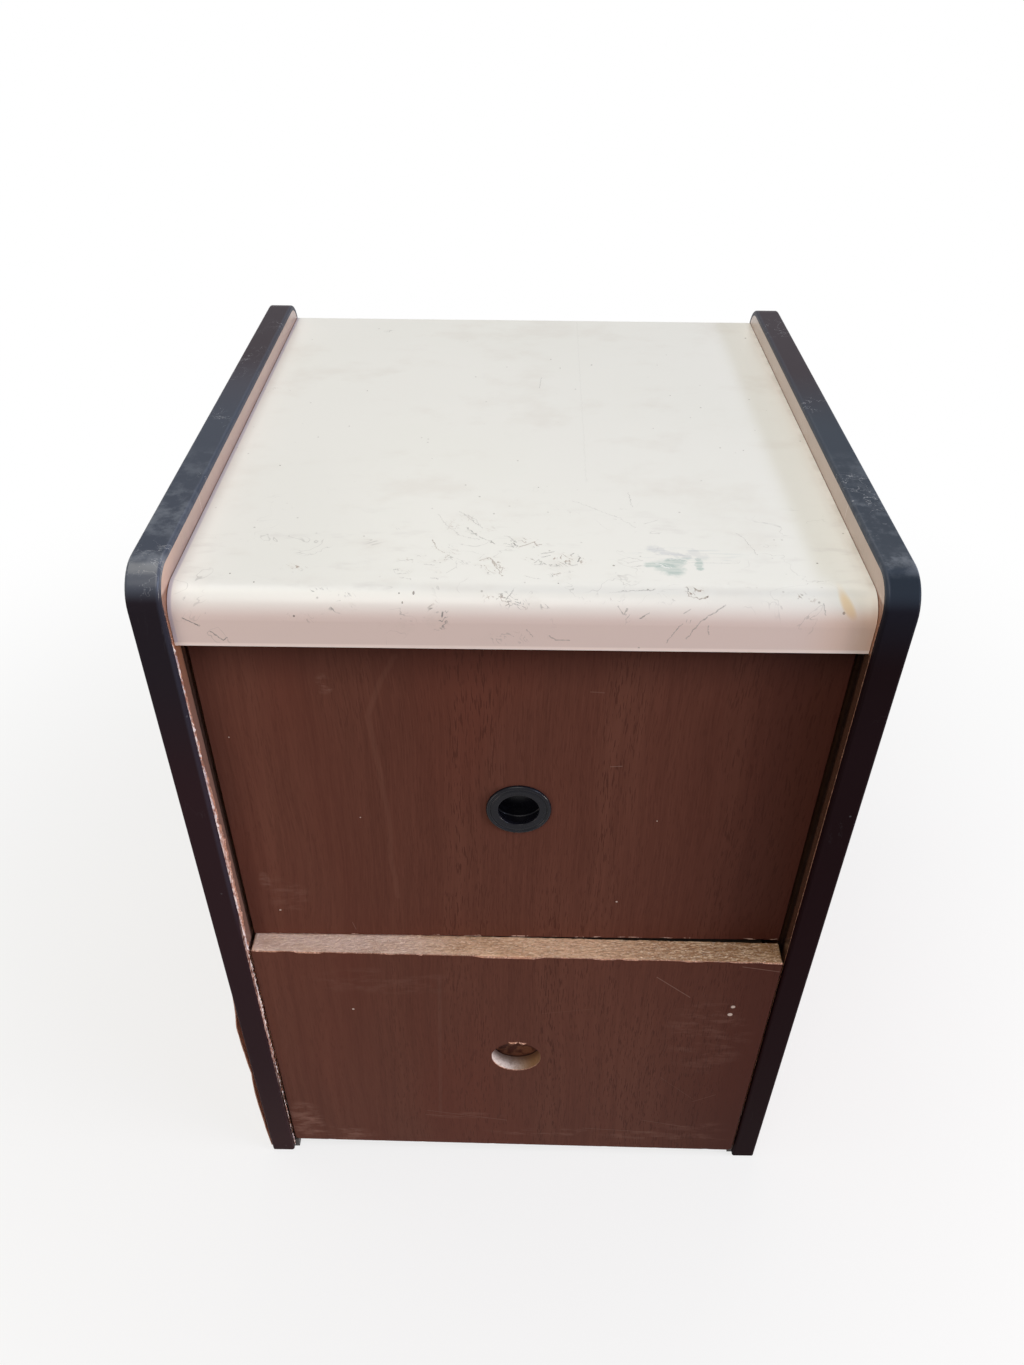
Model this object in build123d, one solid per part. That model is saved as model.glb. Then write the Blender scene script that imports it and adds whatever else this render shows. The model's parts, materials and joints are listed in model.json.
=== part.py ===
from build123d import *
import os
from math import cos, radians, sin, sqrt

# Two-drawer filing cabinet of laminated chipboard, in millimetres.
# +Z is up and the drawers open towards -Y. Depths below are measured from the
# front plane of the side panels' edge bands, and are turned into Y by depth_to_y.

# Carcass
width = 430.0
depth = 440.0
height = 610.0
side_board = 19.0
laminate = 0.8
corner_radius = 23.0
fit_gap = 0.3

# Black edge band of T section, pressed into a groove in the board's edge
band_head = 4.0
band_edge_radius = 1.8
band_tongue = 2.0
band_tongue_depth = 9.0
band_groove_clearance = 0.1
band_groove_end = 1.0

# Loose outer sheet on the left side, bowed off the board low down behind the band
bow_height = 3.0
bow_bottom = 22.0
bow_top = 262.0
bow_depth = 150.0
bow_peak = 0.45

# Worktop let in between the sides, with a post-formed front edge
top_recess = 15.6
top_setback = 7.0
top_front_drop = 34.4
top_front_radius = 16.8
top_board = 18.0
top_strip_depth = 60.0
top_rear_inset = 5.0

# Panels between the sides
bottom_board = 16.0
bottom_panel_gap = 0.5
middle_rail_board = 12.0
middle_rail_depth = 60.0
inner_setback = 40.0
back_board = 4.0
back_groove_depth = 6.0
back_groove_clearance = 0.2
back_panel_end_gap = 0.5
back_inset = 12.0

# Pins that hold the back's lower edge to the bottom
back_pin_radius = 0.8
back_pin_length = 18.0
back_pin_head_radius = 2.0
back_pin_head = 0.6
back_pin_clearance = 0.05
back_pin_end_gap = 0.5
back_pin_count = 5
back_pin_margin = 40.0

# Wooden dowels through the joints of the carcass
dowel_radius = 4.0
dowel_in_side = 11.0
dowel_in_panel = 19.0
dowel_clearance = 0.1
dowel_end_clearance = 1.0
dowel_margin = 60.0
rail_dowel_margin = 15.0

# Angle-shaped plastic glides nailed under the corners
glide_pad = 2.0
glide_wall = 4.0
glide_height = 12.0
glide_length = 34.0
glide_outer_inset = 2.0
glide_setback = 4.6
nail_radius = 1.0
nail_head_radius = 2.5
nail_head = 0.8
nail_sink = 0.6
nail_length = 16.0
nail_clearance = 0.1
nail_end_gap = 0.5
nail_sink_clearance = 0.3
glide_bevel = 1.5

# Drawer fronts
front_board = 18.0
front_recess = 19.0
front_side_gap = 2.5
front_gap = 2.0
front_top_gap = 3.0
front_floor_gap = 13.0

# Drawer boxes
box_board = 12.0
box_top_gap = 2.5
box_rear_gap = 7.0
side_clearance = 12.5
box_bottom_board = 4.0
box_groove_depth = 5.0
box_groove_height = 6.0
box_groove_clearance = 0.15
drawer_travel = 300.0

# Rails that carry hanging files inside each box
file_rail_thickness = 2.5
file_rail_height = 12.0
file_rail_spacing = 330.0
file_rail_seat = 6.0
file_rail_clearance = 0.2

# Roller runners: a channel on the cabinet and a track on the drawer
steel = 1.2
roller_radius = 10.0
roller_width = 6.5
roller_bore_radius = 2.7
roller_running_gap = 0.3
track_gap = 1.0
runner_wall_gap = 0.9
runner_floor_gap = 0.6
roller_web_gap = 0.4
roller_bevel = 0.6
roller_rim = 3.0
roller_hub = 2.0
roller_dish = 1.0
axle_radius = 2.5
axle_flange_radius = 4.2
axle_flange = 0.5
axle_end_gap = 0.2
axle_seat_clearance = 0.05
front_roller_inset = 14.0
rear_roller_inset = 12.0
floor_start_gap = 1.0
roof_setback = 1.0
runner_end_gap = 1.0
stop_height = 3.0
stop_length = 4.0
stop_gap = 1.0
cabinet_screw_margin = 60.0
drawer_screw_margin = 33.0

# Wood screws
screw_radius = 1.75
screw_hole_clearance = 0.1
screw_head_radius = 3.5
screw_head = 1.1
screw_tip = 3.0
screw_point_radius = 0.3
runner_screw_length = 13.0
runner_screw_inset = 4.5
front_screw_length = 25.0
corner_screw_length = 30.0
screw_end_clearance = 0.5
screw_edge = 50.0

# Round cup pull let into the middle of the upper front
pull_flange_radius = 21.5
pull_flange = 2.2
pull_bevel = 1.4
pull_groove_radius = 18.6
pull_groove_width = 0.8
pull_groove_depth = 0.5
pull_body_radius = 19.6
pull_body_depth = 12.6
pull_opening_radius = 13.5
pull_wall = 1.6
pull_rim = 3.2
pull_undercut = 1.2
pull_lip_bevel = 0.6
pull_hole_radius = 19.75
pull_hole_depth = 13.0
pull_offset_z = -1.5
bare_hole_offset_x = 1.5
bare_hole_offset_z = 4.5

# The lower drawer stands a little open, and its front has worked loose at the right
lower_ajar = 14.4
lower_front_yaw = 0.757

# Every cut runs this far past the face that it opens
overcut = 1.0

inner_half = width / 2 - side_board
side_middle = width / 2 - side_board / 2
panel_half = inner_half - fit_gap
top_z = height - top_recess
top_core_top = top_z - laminate
top_core_bottom = top_core_top - top_board
top_drop_bottom = top_z - top_front_drop
top_rear = depth - top_rear_inset
back_panel_front = depth - back_inset - back_board
bottom_panel_bottom = glide_height + bottom_panel_gap
bottom_panel_top = bottom_panel_bottom + bottom_board

front_width = 2 * (inner_half - front_side_gap)
front_height = (top_drop_bottom - front_top_gap - front_gap - front_floor_gap) / 2
lower_front_bottom = front_floor_gap
upper_front_bottom = lower_front_bottom + front_height + front_gap
front_back_plane = front_recess + front_board

middle_rail_bottom = upper_front_bottom - front_gap / 2 - middle_rail_board / 2
middle_rail_top = middle_rail_bottom + middle_rail_board
screw_head_room = steel + screw_head + runner_floor_gap
lower_box_bottom = bottom_panel_top + screw_head_room
upper_box_bottom = middle_rail_top + screw_head_room
box_height = middle_rail_bottom - box_top_gap - lower_box_bottom
box_half = inner_half - side_clearance
box_inner_half = box_half - box_board
box_rear = back_panel_front - box_rear_gap


def depth_to_y(value):
    """Turn a depth behind the front plane of the bands into Y."""
    return value - depth / 2


def block(x0, x1, d0, d1, z0, z1):
    """Box between two X values, two depths and two heights."""
    solid = Box(x1 - x0, d1 - d0, z1 - z0)
    middle_y = depth_to_y((d0 + d1) / 2)
    return Pos((x0 + x1) / 2, middle_y, (z0 + z1) / 2) * solid


def rod_x(radius, x0, x1, d, z):
    """Cylinder along X."""
    solid = Rot(0, 90, 0) * Cylinder(radius, x1 - x0)
    return Pos((x0 + x1) / 2, depth_to_y(d), z) * solid


def rod_y(radius, x, d0, d1, z):
    """Cylinder along Y."""
    solid = Rot(90, 0, 0) * Cylinder(radius, d1 - d0)
    return Pos(x, depth_to_y((d0 + d1) / 2), z) * solid


def rod_z(radius, x, d, z0, z1):
    """Cylinder along Z."""
    return Pos(x, depth_to_y(d), (z0 + z1) / 2) * Cylinder(radius, z1 - z0)


def on_side(side, solid):
    """Keep a solid made for the right side, or mirror it to the left."""
    if side == "left":
        return mirror(solid, about=Plane.YZ)
    return solid


def side_face(inset, bottom):
    """Side panel's outline in the YZ plane, drawn in by inset, round at the top."""
    front = depth_to_y(inset)
    rear = depth_to_y(depth - inset)
    top = height - inset
    radius = corner_radius - inset
    quarter = radius * (1 - sqrt(0.5))
    front_arc = ThreePointArc(
        (0, front, top - radius),
        (0, front + quarter, top - quarter),
        (0, front + radius, top),
    )
    rear_arc = ThreePointArc(
        (0, rear - radius, top),
        (0, rear - quarter, top - quarter),
        (0, rear, top - radius),
    )
    edges = [
        Line((0, front, bottom), front_arc @ 0),
        front_arc,
        Line(front_arc @ 1, rear_arc @ 0),
        rear_arc,
        Line(rear_arc @ 1, (0, rear, bottom)),
        Line((0, rear, bottom), (0, front, bottom)),
    ]
    return Face(Wire(edges))


def side_plate(inset, x0, x1, bottom=glide_pad):
    """Slab of the side panel's outline between two X values."""
    face = Pos(x0, 0, 0) * side_face(inset, bottom)
    return extrude(face, amount=x1 - x0, dir=(1, 0, 0))


def side_ring(outer_inset, inner_inset, x0, x1):
    """Strip along the front, top and rear of the outline, open at the foot."""
    plate = side_plate(outer_inset, x0, x1)
    return plate - side_plate(inner_inset, x0 - overcut, x1 + overcut, bottom=-overcut)


def cut_all(solid, tools):
    """Cut every tool from a solid."""
    for tool in tools:
        solid = solid - tool
    return solid


def group(parts):
    """Keep several separate solids together as one sub-part."""
    return Compound([part.solid() for part in parts])


def screw(length):
    """Wood screw along +Z, with its head's underside at the origin."""
    head = Pos(0, 0, -screw_head / 2) * Cylinder(screw_head_radius, screw_head)
    shank_length = length - screw_tip
    shank = Pos(0, 0, shank_length / 2) * Cylinder(screw_radius, shank_length)
    tip = Pos(0, 0, length - screw_tip / 2) * Cone(screw_radius, screw_point_radius, screw_tip)
    return head + shank + tip


def screw_hole(length):
    """Pilot hole for a screw, from just outside its head's underside."""
    reach = length + screw_end_clearance
    radius = screw_radius + screw_hole_clearance
    return Pos(0, 0, (reach - overcut) / 2) * Cylinder(radius, reach + overcut)


def towards_right(x, d, z):
    """Place a +Z screw so that it points along +X."""
    return Pos(x, depth_to_y(d), z) * Rot(0, 90, 0)


def towards_front(x, d, z):
    """Place a +Z screw so that it points along -Y."""
    return Pos(x, depth_to_y(d), z) * Rot(90, 0, 0)


def upwards(x, d, z):
    """Place a +Z screw so that it points up."""
    return Pos(x, depth_to_y(d), z)


# Dowels: depths and height of each row, for the top, the bottom and the middle rail
dowel_rows = []
for row_depth in (dowel_margin, depth / 2, depth - dowel_margin):
    dowel_rows.append((row_depth, top_core_bottom + top_board / 2))
    dowel_rows.append((row_depth, (bottom_panel_bottom + bottom_panel_top) / 2))
middle_rail_rear = inner_setback + middle_rail_depth
for row_depth in (inner_setback + rail_dowel_margin, middle_rail_rear - rail_dowel_margin):
    dowel_rows.append((row_depth, (middle_rail_bottom + middle_rail_top) / 2))


def dowel(d, z):
    """Dowel across the joint between the right side and a panel."""
    return rod_x(dowel_radius, inner_half - dowel_in_panel, inner_half + dowel_in_side, d, z)


def dowel_hole(d, z):
    """Hole for that dowel, a little wider and longer at both ends."""
    start = inner_half - dowel_in_panel - dowel_end_clearance
    end = inner_half + dowel_in_side + dowel_end_clearance
    return rod_x(dowel_radius + dowel_clearance, start, end, d, z)


def both_dowel_holes(rows):
    """Holes for the dowels at both ends of a panel."""
    holes = []
    for d, z in rows:
        holes.append(dowel_hole(d, z))
        holes.append(mirror(dowel_hole(d, z), about=Plane.YZ))
    return holes


# Runner sizes, from the drawer's underside at height z
channel_inner = box_half + steel + runner_wall_gap
roller_x0 = channel_inner + roller_web_gap
roller_x1 = roller_x0 + roller_width
roller_lift = roller_radius - steel + roller_running_gap
lip_lift = roller_lift + roller_radius + track_gap
channel_lift = lip_lift + steel + track_gap
front_roller_lift = lip_lift - roller_running_gap - roller_radius
front_roller_depth = inner_setback + front_roller_inset
rear_roller_depth = box_rear - rear_roller_inset
cabinet_runner_end = box_rear - runner_end_gap
drawer_runner_start = front_back_plane + runner_end_gap
stop_reach = sqrt(roller_radius**2 - (roller_radius - stop_height) ** 2)
stop_depth = rear_roller_depth - drawer_travel - stop_reach - stop_gap
cabinet_screw_depths = (
    inner_setback + cabinet_screw_margin,
    (inner_setback + cabinet_runner_end) / 2,
    cabinet_runner_end - cabinet_screw_margin,
)
drawer_screw_depths = (
    drawer_runner_start + drawer_screw_margin,
    (drawer_runner_start + box_rear) / 2,
    box_rear - drawer_screw_margin,
)


def cabinet_runner(z):
    """Right-hand channel of a runner, open towards the drawer."""
    start, end = inner_setback, cabinet_runner_end
    floor = z - 2 * steel
    roof = z + channel_lift
    floor_start = front_roller_depth + roller_radius + floor_start_gap
    floor_top = floor + steel
    web = block(inner_half - steel, inner_half, start, end, floor, roof + steel)
    base = block(channel_inner, inner_half, floor_start, end, floor, floor_top)
    lid = block(channel_inner + roof_setback, inner_half, start, end, roof, roof + steel)
    stop_start = stop_depth - stop_length
    stop = block(channel_inner, inner_half, stop_start, stop_depth, floor, floor_top + stop_height)
    hole_radius = axle_radius + axle_seat_clearance
    x0, x1 = inner_half - steel - overcut, inner_half + overcut
    axle_hole = rod_x(hole_radius, x0, x1, front_roller_depth, z + front_roller_lift)
    holes = [cabinet_screw_hole(d, z) for d in cabinet_screw_depths]
    return cut_all(web + base + lid + stop, holes + [axle_hole])


def cabinet_screw_height(z):
    """Height of the screws through the channel's web."""
    return z + (lip_lift - steel) / 2


def cabinet_screw(d, z):
    """Screw through the channel's web into the right side."""
    place = towards_right(inner_half - steel, d, cabinet_screw_height(z))
    return place * screw(runner_screw_length)


def cabinet_screw_hole(d, z):
    """Hole for that screw through the web and into the board."""
    place = towards_right(inner_half - steel, d, cabinet_screw_height(z))
    return place * screw_hole(runner_screw_length)


def axle(x_web, x_seat, d, z):
    """Riveted axle between a runner's web and its cap, with the web's face at x_seat."""
    collar_end, cap_start = roller_x1 + axle_end_gap, roller_x0 - axle_end_gap
    if x_seat < roller_x0:
        collar_end, cap_start = cap_start, collar_end
    cap_end = cap_start + axle_flange * (1 if cap_start > x_seat else -1)
    pin = rod_x(axle_radius, min(x_web, cap_end), max(x_web, cap_end), d, z)
    collar = rod_x(axle_flange_radius, min(x_seat, collar_end), max(x_seat, collar_end), d, z)
    cap = rod_x(axle_flange_radius, min(cap_start, cap_end), max(cap_start, cap_end), d, z)
    return pin + collar + cap


def cabinet_axle(z):
    """Axle of the front roller, standing on the channel's web."""
    return axle(inner_half, inner_half - steel, front_roller_depth, z + front_roller_lift)


def roller(d, z):
    """Nylon roller with a shallow dish in one face."""
    wheel = rod_x(roller_radius, roller_x0, roller_x1, d, z)
    wheel = chamfer(wheel.edges().filter_by(GeomType.CIRCLE), roller_bevel)
    bore = rod_x(roller_bore_radius, roller_x0 - overcut, roller_x1 + overcut, d, z)
    dish_start = roller_x1 - roller_dish
    dish = rod_x(roller_radius - roller_rim, dish_start, roller_x1 + overcut, d, z)
    hub = rod_x(roller_bore_radius + roller_hub, dish_start, roller_x1, d, z)
    return wheel - (dish - hub) - bore


def drawer_runner(z):
    """Right-hand track that wraps the lower corner of the drawer's side."""
    start, outer = drawer_runner_start, box_half + steel
    lip_top = z + lip_lift + steel
    web = block(box_half, outer, start, box_rear, z - steel, lip_top)
    foot = block(box_inner_half, outer, start, box_rear, z - steel, z)
    lip = block(box_half, roller_x1, start, box_rear, z + lip_lift, lip_top)
    hole_radius = axle_radius + axle_seat_clearance
    x0, x1 = box_half - overcut, outer + overcut
    axle_hole = rod_x(hole_radius, x0, x1, rear_roller_depth, z + roller_lift)
    holes = [drawer_screw_hole(d, z) for d in drawer_screw_depths]
    return cut_all(web + foot + lip, holes + [axle_hole])


def drawer_screw(d, z):
    """Screw up through the track's foot into the drawer's side."""
    return upwards(box_half - runner_screw_inset, d, z - steel) * screw(runner_screw_length)


def drawer_screw_hole(d, z):
    """Hole for that screw."""
    return upwards(box_half - runner_screw_inset, d, z - steel) * screw_hole(runner_screw_length)


def drawer_axle(z):
    """Axle of the rear roller, standing on the track's web."""
    return axle(box_half, box_half + steel, rear_roller_depth, z + roller_lift)


# Glides under the corners, made for the right side
def glide_span(end):
    """Depths of a glide at the front or rear end."""
    if end == "front":
        return glide_setback, glide_setback + glide_length
    return depth - glide_setback - glide_length, depth - glide_setback


def glide(end):
    """Angle of plastic under the board and up its inner face."""
    d0, d1 = glide_span(end)
    outer = width / 2 - glide_outer_inset
    pad = block(inner_half - glide_wall, outer, d0, d1, 0, glide_pad)
    wall = block(inner_half - glide_wall, inner_half, d0, d1, 0, glide_height)
    d, x = (d0 + d1) / 2, side_middle
    sink_radius = nail_head_radius + nail_sink_clearance
    sink = rod_z(sink_radius, x, d, -overcut, nail_sink + nail_head)
    bore = rod_z(nail_radius + nail_clearance, x, d, -overcut, glide_pad + overcut)
    angle = pad + wall
    inner_edges = angle.edges().filter_by(Axis.Y).group_by(Axis.X)[0]
    return chamfer(inner_edges.group_by(Axis.Z)[-1], glide_bevel) - sink - bore


def nail(end):
    """Nail that holds a glide to the board."""
    d0, d1 = glide_span(end)
    d, x = (d0 + d1) / 2, side_middle
    head = rod_z(nail_head_radius, x, d, nail_sink, nail_sink + nail_head)
    shank = rod_z(nail_radius, x, d, nail_sink, nail_sink + nail_length)
    return head + shank


def nail_hole(end):
    """Hole that the nail makes in the board."""
    d0, d1 = glide_span(end)
    top = nail_sink + nail_length + nail_end_gap
    return rod_z(nail_radius + nail_clearance, side_middle, (d0 + d1) / 2, 0, top)


# Side panels: board, two sheets and the edge band, made for the right side
def back_groove():
    """Groove for the back panel in the right side."""
    d0 = back_panel_front - back_groove_clearance
    d1 = back_panel_front + back_board + back_groove_clearance
    x0, x1 = inner_half - overcut, inner_half + back_groove_depth
    return block(x0, x1, d0, d1, 0, top_core_bottom)


def band_slot():
    """Groove around the board's edge for the band's tongue."""
    half = band_tongue / 2 + band_groove_clearance
    floor = band_head + band_tongue_depth + band_groove_end
    return side_ring(band_head, floor, side_middle - half, side_middle + half)


def side_holes():
    """Holes for dowels, runner screws and nails in the right side."""
    holes = [dowel_hole(d, z) for d, z in dowel_rows]
    for z in (lower_box_bottom, upper_box_bottom):
        holes += [cabinet_screw_hole(d, z) for d in cabinet_screw_depths]
    holes += [nail_hole("front"), nail_hole("rear")]
    return holes


def side_core():
    """Chipboard of a side."""
    board = side_plate(band_head, inner_half + laminate, width / 2 - laminate)
    return cut_all(board, side_holes() + [band_slot(), back_groove()])


def inner_sheet():
    """Sheet on the inner face of a side."""
    sheet = side_plate(band_head, inner_half, inner_half + laminate)
    return cut_all(sheet, side_holes() + [back_groove()])


def outer_sheet():
    """Flat sheet on the outer face of a side."""
    return side_plate(band_head, width / 2 - laminate, width / 2)


def bow_section(d, bow):
    """Cross-section of the loose sheet at one depth, standing off by bow."""
    y = depth_to_y(d)
    peak_z = bow_bottom + (bow_top - bow_bottom) * bow_peak
    faces = []
    for x in (width / 2 - laminate, width / 2):
        points = [(x, y, bow_bottom), (x + bow, y, peak_z), (x, y, bow_top)]
        faces.append(Spline(points, tangents=[(0, 0, 1), (0, 0, 1)]))
    inner, outer = faces
    return Wire([inner, Line(inner @ 1, outer @ 1), outer, Line(outer @ 0, inner @ 0)])


def bowed_sheet():
    """Outer sheet that has come off the board near its front edge, low down."""
    start, end = band_head, band_head + bow_depth
    x0, x1 = width / 2 - laminate - overcut, width / 2 + overcut
    window = block(x0, x1, start - overcut, end, bow_bottom, bow_top)
    sections = [bow_section(start, bow_height), bow_section(end, 0)]
    return (outer_sheet() - window) + Solid.make_loft(sections, ruled=True)


def edge_band():
    """T-section band over the front, top and rear edges of a side."""
    head = side_ring(0, band_head, inner_half, width / 2)
    outline = side_face(0, glide_pad).edges()
    rims = []
    for edge in head.edges().filter_by(lambda edge: abs((edge @ 0).X - (edge @ 1).X) < 0.01):
        middle = edge @ 0.5
        spot = Vector(0, middle.Y, middle.Z)
        along_rim = any((spot - other @ 0.5).length < 0.01 for other in outline)
        if along_rim and middle.Z > glide_pad + 0.01:
            rims.append(edge)
    head = fillet(rims, band_edge_radius)
    x0, x1 = side_middle - band_tongue / 2, side_middle + band_tongue / 2
    return head + side_ring(band_head, band_head + band_tongue_depth, x0, x1)


# Worktop
def top_profile(setback, top, radius, bottom, rear):
    """Section of the top in the YZ plane, with a round front edge."""
    front = depth_to_y(setback)
    quarter = radius * (1 - sqrt(0.5))
    arc = ThreePointArc(
        (0, front, top - radius),
        (0, front + quarter, top - quarter),
        (0, front + radius, top),
    )
    back = depth_to_y(rear)
    edges = [
        Line((0, front, bottom), arc @ 0),
        arc,
        Line(arc @ 1, (0, back, top)),
        Line((0, back, top), (0, back, bottom)),
        Line((0, back, bottom), (0, front, bottom)),
    ]
    return Face(Wire(edges))


def across(face):
    """Extrude a YZ section over the whole width between the sides."""
    return extrude(Pos(-panel_half, 0, 0) * face, amount=2 * panel_half, dir=(1, 0, 0))


core_front = top_setback + laminate
core_radius = top_front_radius - laminate


def top_core():
    """Chipboard of the top."""
    board = across(top_profile(core_front, top_core_top, core_radius, top_core_bottom, top_rear))
    rows = [row for row in dowel_rows if row[1] > top_core_bottom]
    return cut_all(board, both_dowel_holes(rows))


def top_strip():
    """Strip that thickens the front edge of the top."""
    strip_end = core_front + top_strip_depth
    return block(-panel_half, panel_half, core_front, strip_end, top_drop_bottom, top_core_bottom)


def top_sheet():
    """Post-formed sheet over the top and down its front."""
    outer = across(top_profile(top_setback, top_z, top_front_radius, top_drop_bottom, top_rear))
    under, behind = top_drop_bottom - overcut, top_rear + overcut
    inner = across(top_profile(core_front, top_core_top, core_radius, under, behind))
    return outer - inner


# Inner panels
def bottom_panel():
    """Bottom between the sides."""
    d0, d1 = inner_setback, back_panel_front
    board = block(-panel_half, panel_half, d0, d1, bottom_panel_bottom, bottom_panel_top)
    rows = [row for row in dowel_rows if row[1] < bottom_panel_top]
    return cut_all(board, both_dowel_holes(rows) + back_pin_holes())


def middle_rail():
    """Rail behind the joint between the two fronts."""
    d0, d1 = inner_setback, middle_rail_rear
    board = block(-panel_half, panel_half, d0, d1, middle_rail_bottom, middle_rail_top)
    rows = [row for row in dowel_rows if middle_rail_bottom < row[1] < middle_rail_top]
    return cut_all(board, both_dowel_holes(rows))


def back_panel():
    """Hardboard back, let into grooves in the sides."""
    half = inner_half + back_groove_depth - back_panel_end_gap
    d0, d1 = back_panel_front, back_panel_front + back_board
    board = block(-half, half, d0, d1, bottom_panel_bottom, top_core_bottom - fit_gap)
    return cut_all(board, back_pin_holes())


def back_pin_places():
    """X of each pin through the back's lower edge."""
    span = 2 * (panel_half - back_pin_margin)
    step = span / (back_pin_count - 1)
    return [-span / 2 + step * index for index in range(back_pin_count)]


def back_pin(x):
    """Flat-headed pin through the back into the bottom."""
    d1 = back_panel_front + back_board
    z = (bottom_panel_bottom + bottom_panel_top) / 2
    shank = rod_y(back_pin_radius, x, d1 - back_pin_length, d1, z)
    return shank + rod_y(back_pin_head_radius, x, d1, d1 + back_pin_head, z)


def back_pin_holes():
    """Holes that the pins make in the back and the bottom."""
    radius = back_pin_radius + back_pin_clearance
    d1 = back_panel_front + back_board
    d0 = d1 - back_pin_length - back_pin_end_gap
    z = (bottom_panel_bottom + bottom_panel_top) / 2
    return [rod_y(radius, x, d0, d1 + overcut, z) for x in back_pin_places()]


# Drawer, in its closed place. z is the underside of the box.
def box_bottom_slot(z, play):
    """The box's bottom board, or with play the groove for it."""
    reach = box_inner_half + box_groove_depth - fit_gap
    d0 = front_back_plane + box_board - box_groove_depth + fit_gap
    d1 = box_rear - box_board + box_groove_depth - fit_gap
    z0 = z + box_groove_height
    end = fit_gap if play else 0
    z1 = z0 + box_bottom_board
    return block(-reach - end, reach + end, d0 - end, d1 + end, z0 - play, z1 + play)


def box_side(z):
    """Right side of a drawer box."""
    board = block(box_inner_half, box_half, front_back_plane, box_rear, z, z + box_height)
    tools = [box_bottom_slot(z, box_groove_clearance)]
    tools += [drawer_screw_hole(d, z) for d in drawer_screw_depths]
    tools += [corner_screw_hole(d, screw_z) for d, screw_z in corner_screw_places(z)]
    return cut_all(board, tools)


def corner_screw_places(z):
    """Depth and height of the screws at the two right-hand corners of a box."""
    places = []
    for d in (front_back_plane + box_board / 2, box_rear - box_board / 2):
        for screw_z in (z + screw_edge, z + box_height - screw_edge):
            places.append((d, screw_z))
    return places


def corner_screw(d, z):
    """Screw through a drawer side into the end of its front or back."""
    place = Pos(box_half, depth_to_y(d), z) * Rot(0, -90, 0)
    return place * screw(corner_screw_length)


def corner_screw_hole(d, z):
    """Hole for that screw."""
    place = Pos(box_half, depth_to_y(d), z) * Rot(0, -90, 0)
    return place * screw_hole(corner_screw_length)


def file_rail(z, play):
    """Right-hand file rail on edge, or with play the seat for it."""
    x = file_rail_spacing / 2
    half = file_rail_thickness / 2 + play
    d0 = front_back_plane + box_board - file_rail_seat - play
    d1 = box_rear - box_board + file_rail_seat + play
    top = z + box_height
    return block(x - half, x + half, d0, d1, top - file_rail_height - play, top + play)


def box_end(z, d0):
    """Front or back board of a drawer box, between its sides."""
    board = block(-box_inner_half, box_inner_half, d0, d0 + box_board, z, z + box_height)
    tools = [box_bottom_slot(z, box_groove_clearance)]
    seat = file_rail(z, file_rail_clearance)
    tools += [seat, mirror(seat, about=Plane.YZ)]
    for d, screw_z in corner_screw_places(z):
        hole = corner_screw_hole(d, screw_z)
        tools += [hole, mirror(hole, about=Plane.YZ)]
    return cut_all(board, tools)


def front_screw_places(z):
    """X and height of the screws that hold the front to the box."""
    places = []
    for x in (-box_inner_half + screw_edge, box_inner_half - screw_edge):
        for screw_z in (z + screw_edge, z + box_height - screw_edge):
            places.append((x, screw_z))
    return places


def front_screw(x, z):
    """Screw from inside the box into the front."""
    return towards_front(x, front_back_plane + box_board, z) * screw(front_screw_length)


def front_screw_hole(x, z):
    """Hole for that screw."""
    return towards_front(x, front_back_plane + box_board, z) * screw_hole(front_screw_length)


def front_hole(x, z):
    """Blind round hole for a cup pull."""
    return rod_y(pull_hole_radius, x, front_recess - overcut, front_recess + pull_hole_depth, z)


def front_boards(bottom, hole_x, hole_z):
    """Core and sheet of a drawer front with its round hole."""
    half = front_width / 2
    top = bottom + front_height
    core = block(-half, half, front_recess + laminate, front_back_plane, bottom, top)
    sheet = block(-half, half, front_recess, front_recess + laminate, bottom, top)
    hole = front_hole(hole_x, hole_z)
    return core - hole, sheet - hole


def loosened(solid):
    """Swing the lower front about its left rear edge, as it has worked loose."""
    pivot = Pos(-front_width / 2, depth_to_y(front_back_plane), 0)
    return pivot * Rot(0, 0, -lower_front_yaw) * pivot.inverse() * solid


def cup_pull(x, z):
    """Turned cup with a bevelled flange, undercut behind its rim."""
    face = -pull_flange
    outer = pull_flange_radius
    inner_radius = pull_body_radius - pull_wall
    rim_back = face + pull_rim
    floor = pull_body_depth - pull_wall
    outline = Polyline(
        (0, floor),
        (inner_radius, floor),
        (inner_radius, rim_back + pull_undercut),
        (pull_opening_radius, rim_back),
        (pull_opening_radius, face + pull_lip_bevel),
        (pull_opening_radius + pull_lip_bevel, face),
        (pull_groove_radius - pull_groove_width / 2, face),
        (pull_groove_radius, face + pull_groove_depth),
        (pull_groove_radius + pull_groove_width / 2, face),
        (outer - pull_bevel, face),
        (outer, face + pull_bevel),
        (outer, 0),
        (pull_body_radius, 0),
        (pull_body_radius, pull_body_depth),
        (0, pull_body_depth),
        (0, floor),
    )
    turned = revolve(Face(Wire(outline.edges())), axis=Axis.Y, revolution_arc=360)
    return Pos(x, depth_to_y(front_recess), z) * turned


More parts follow.
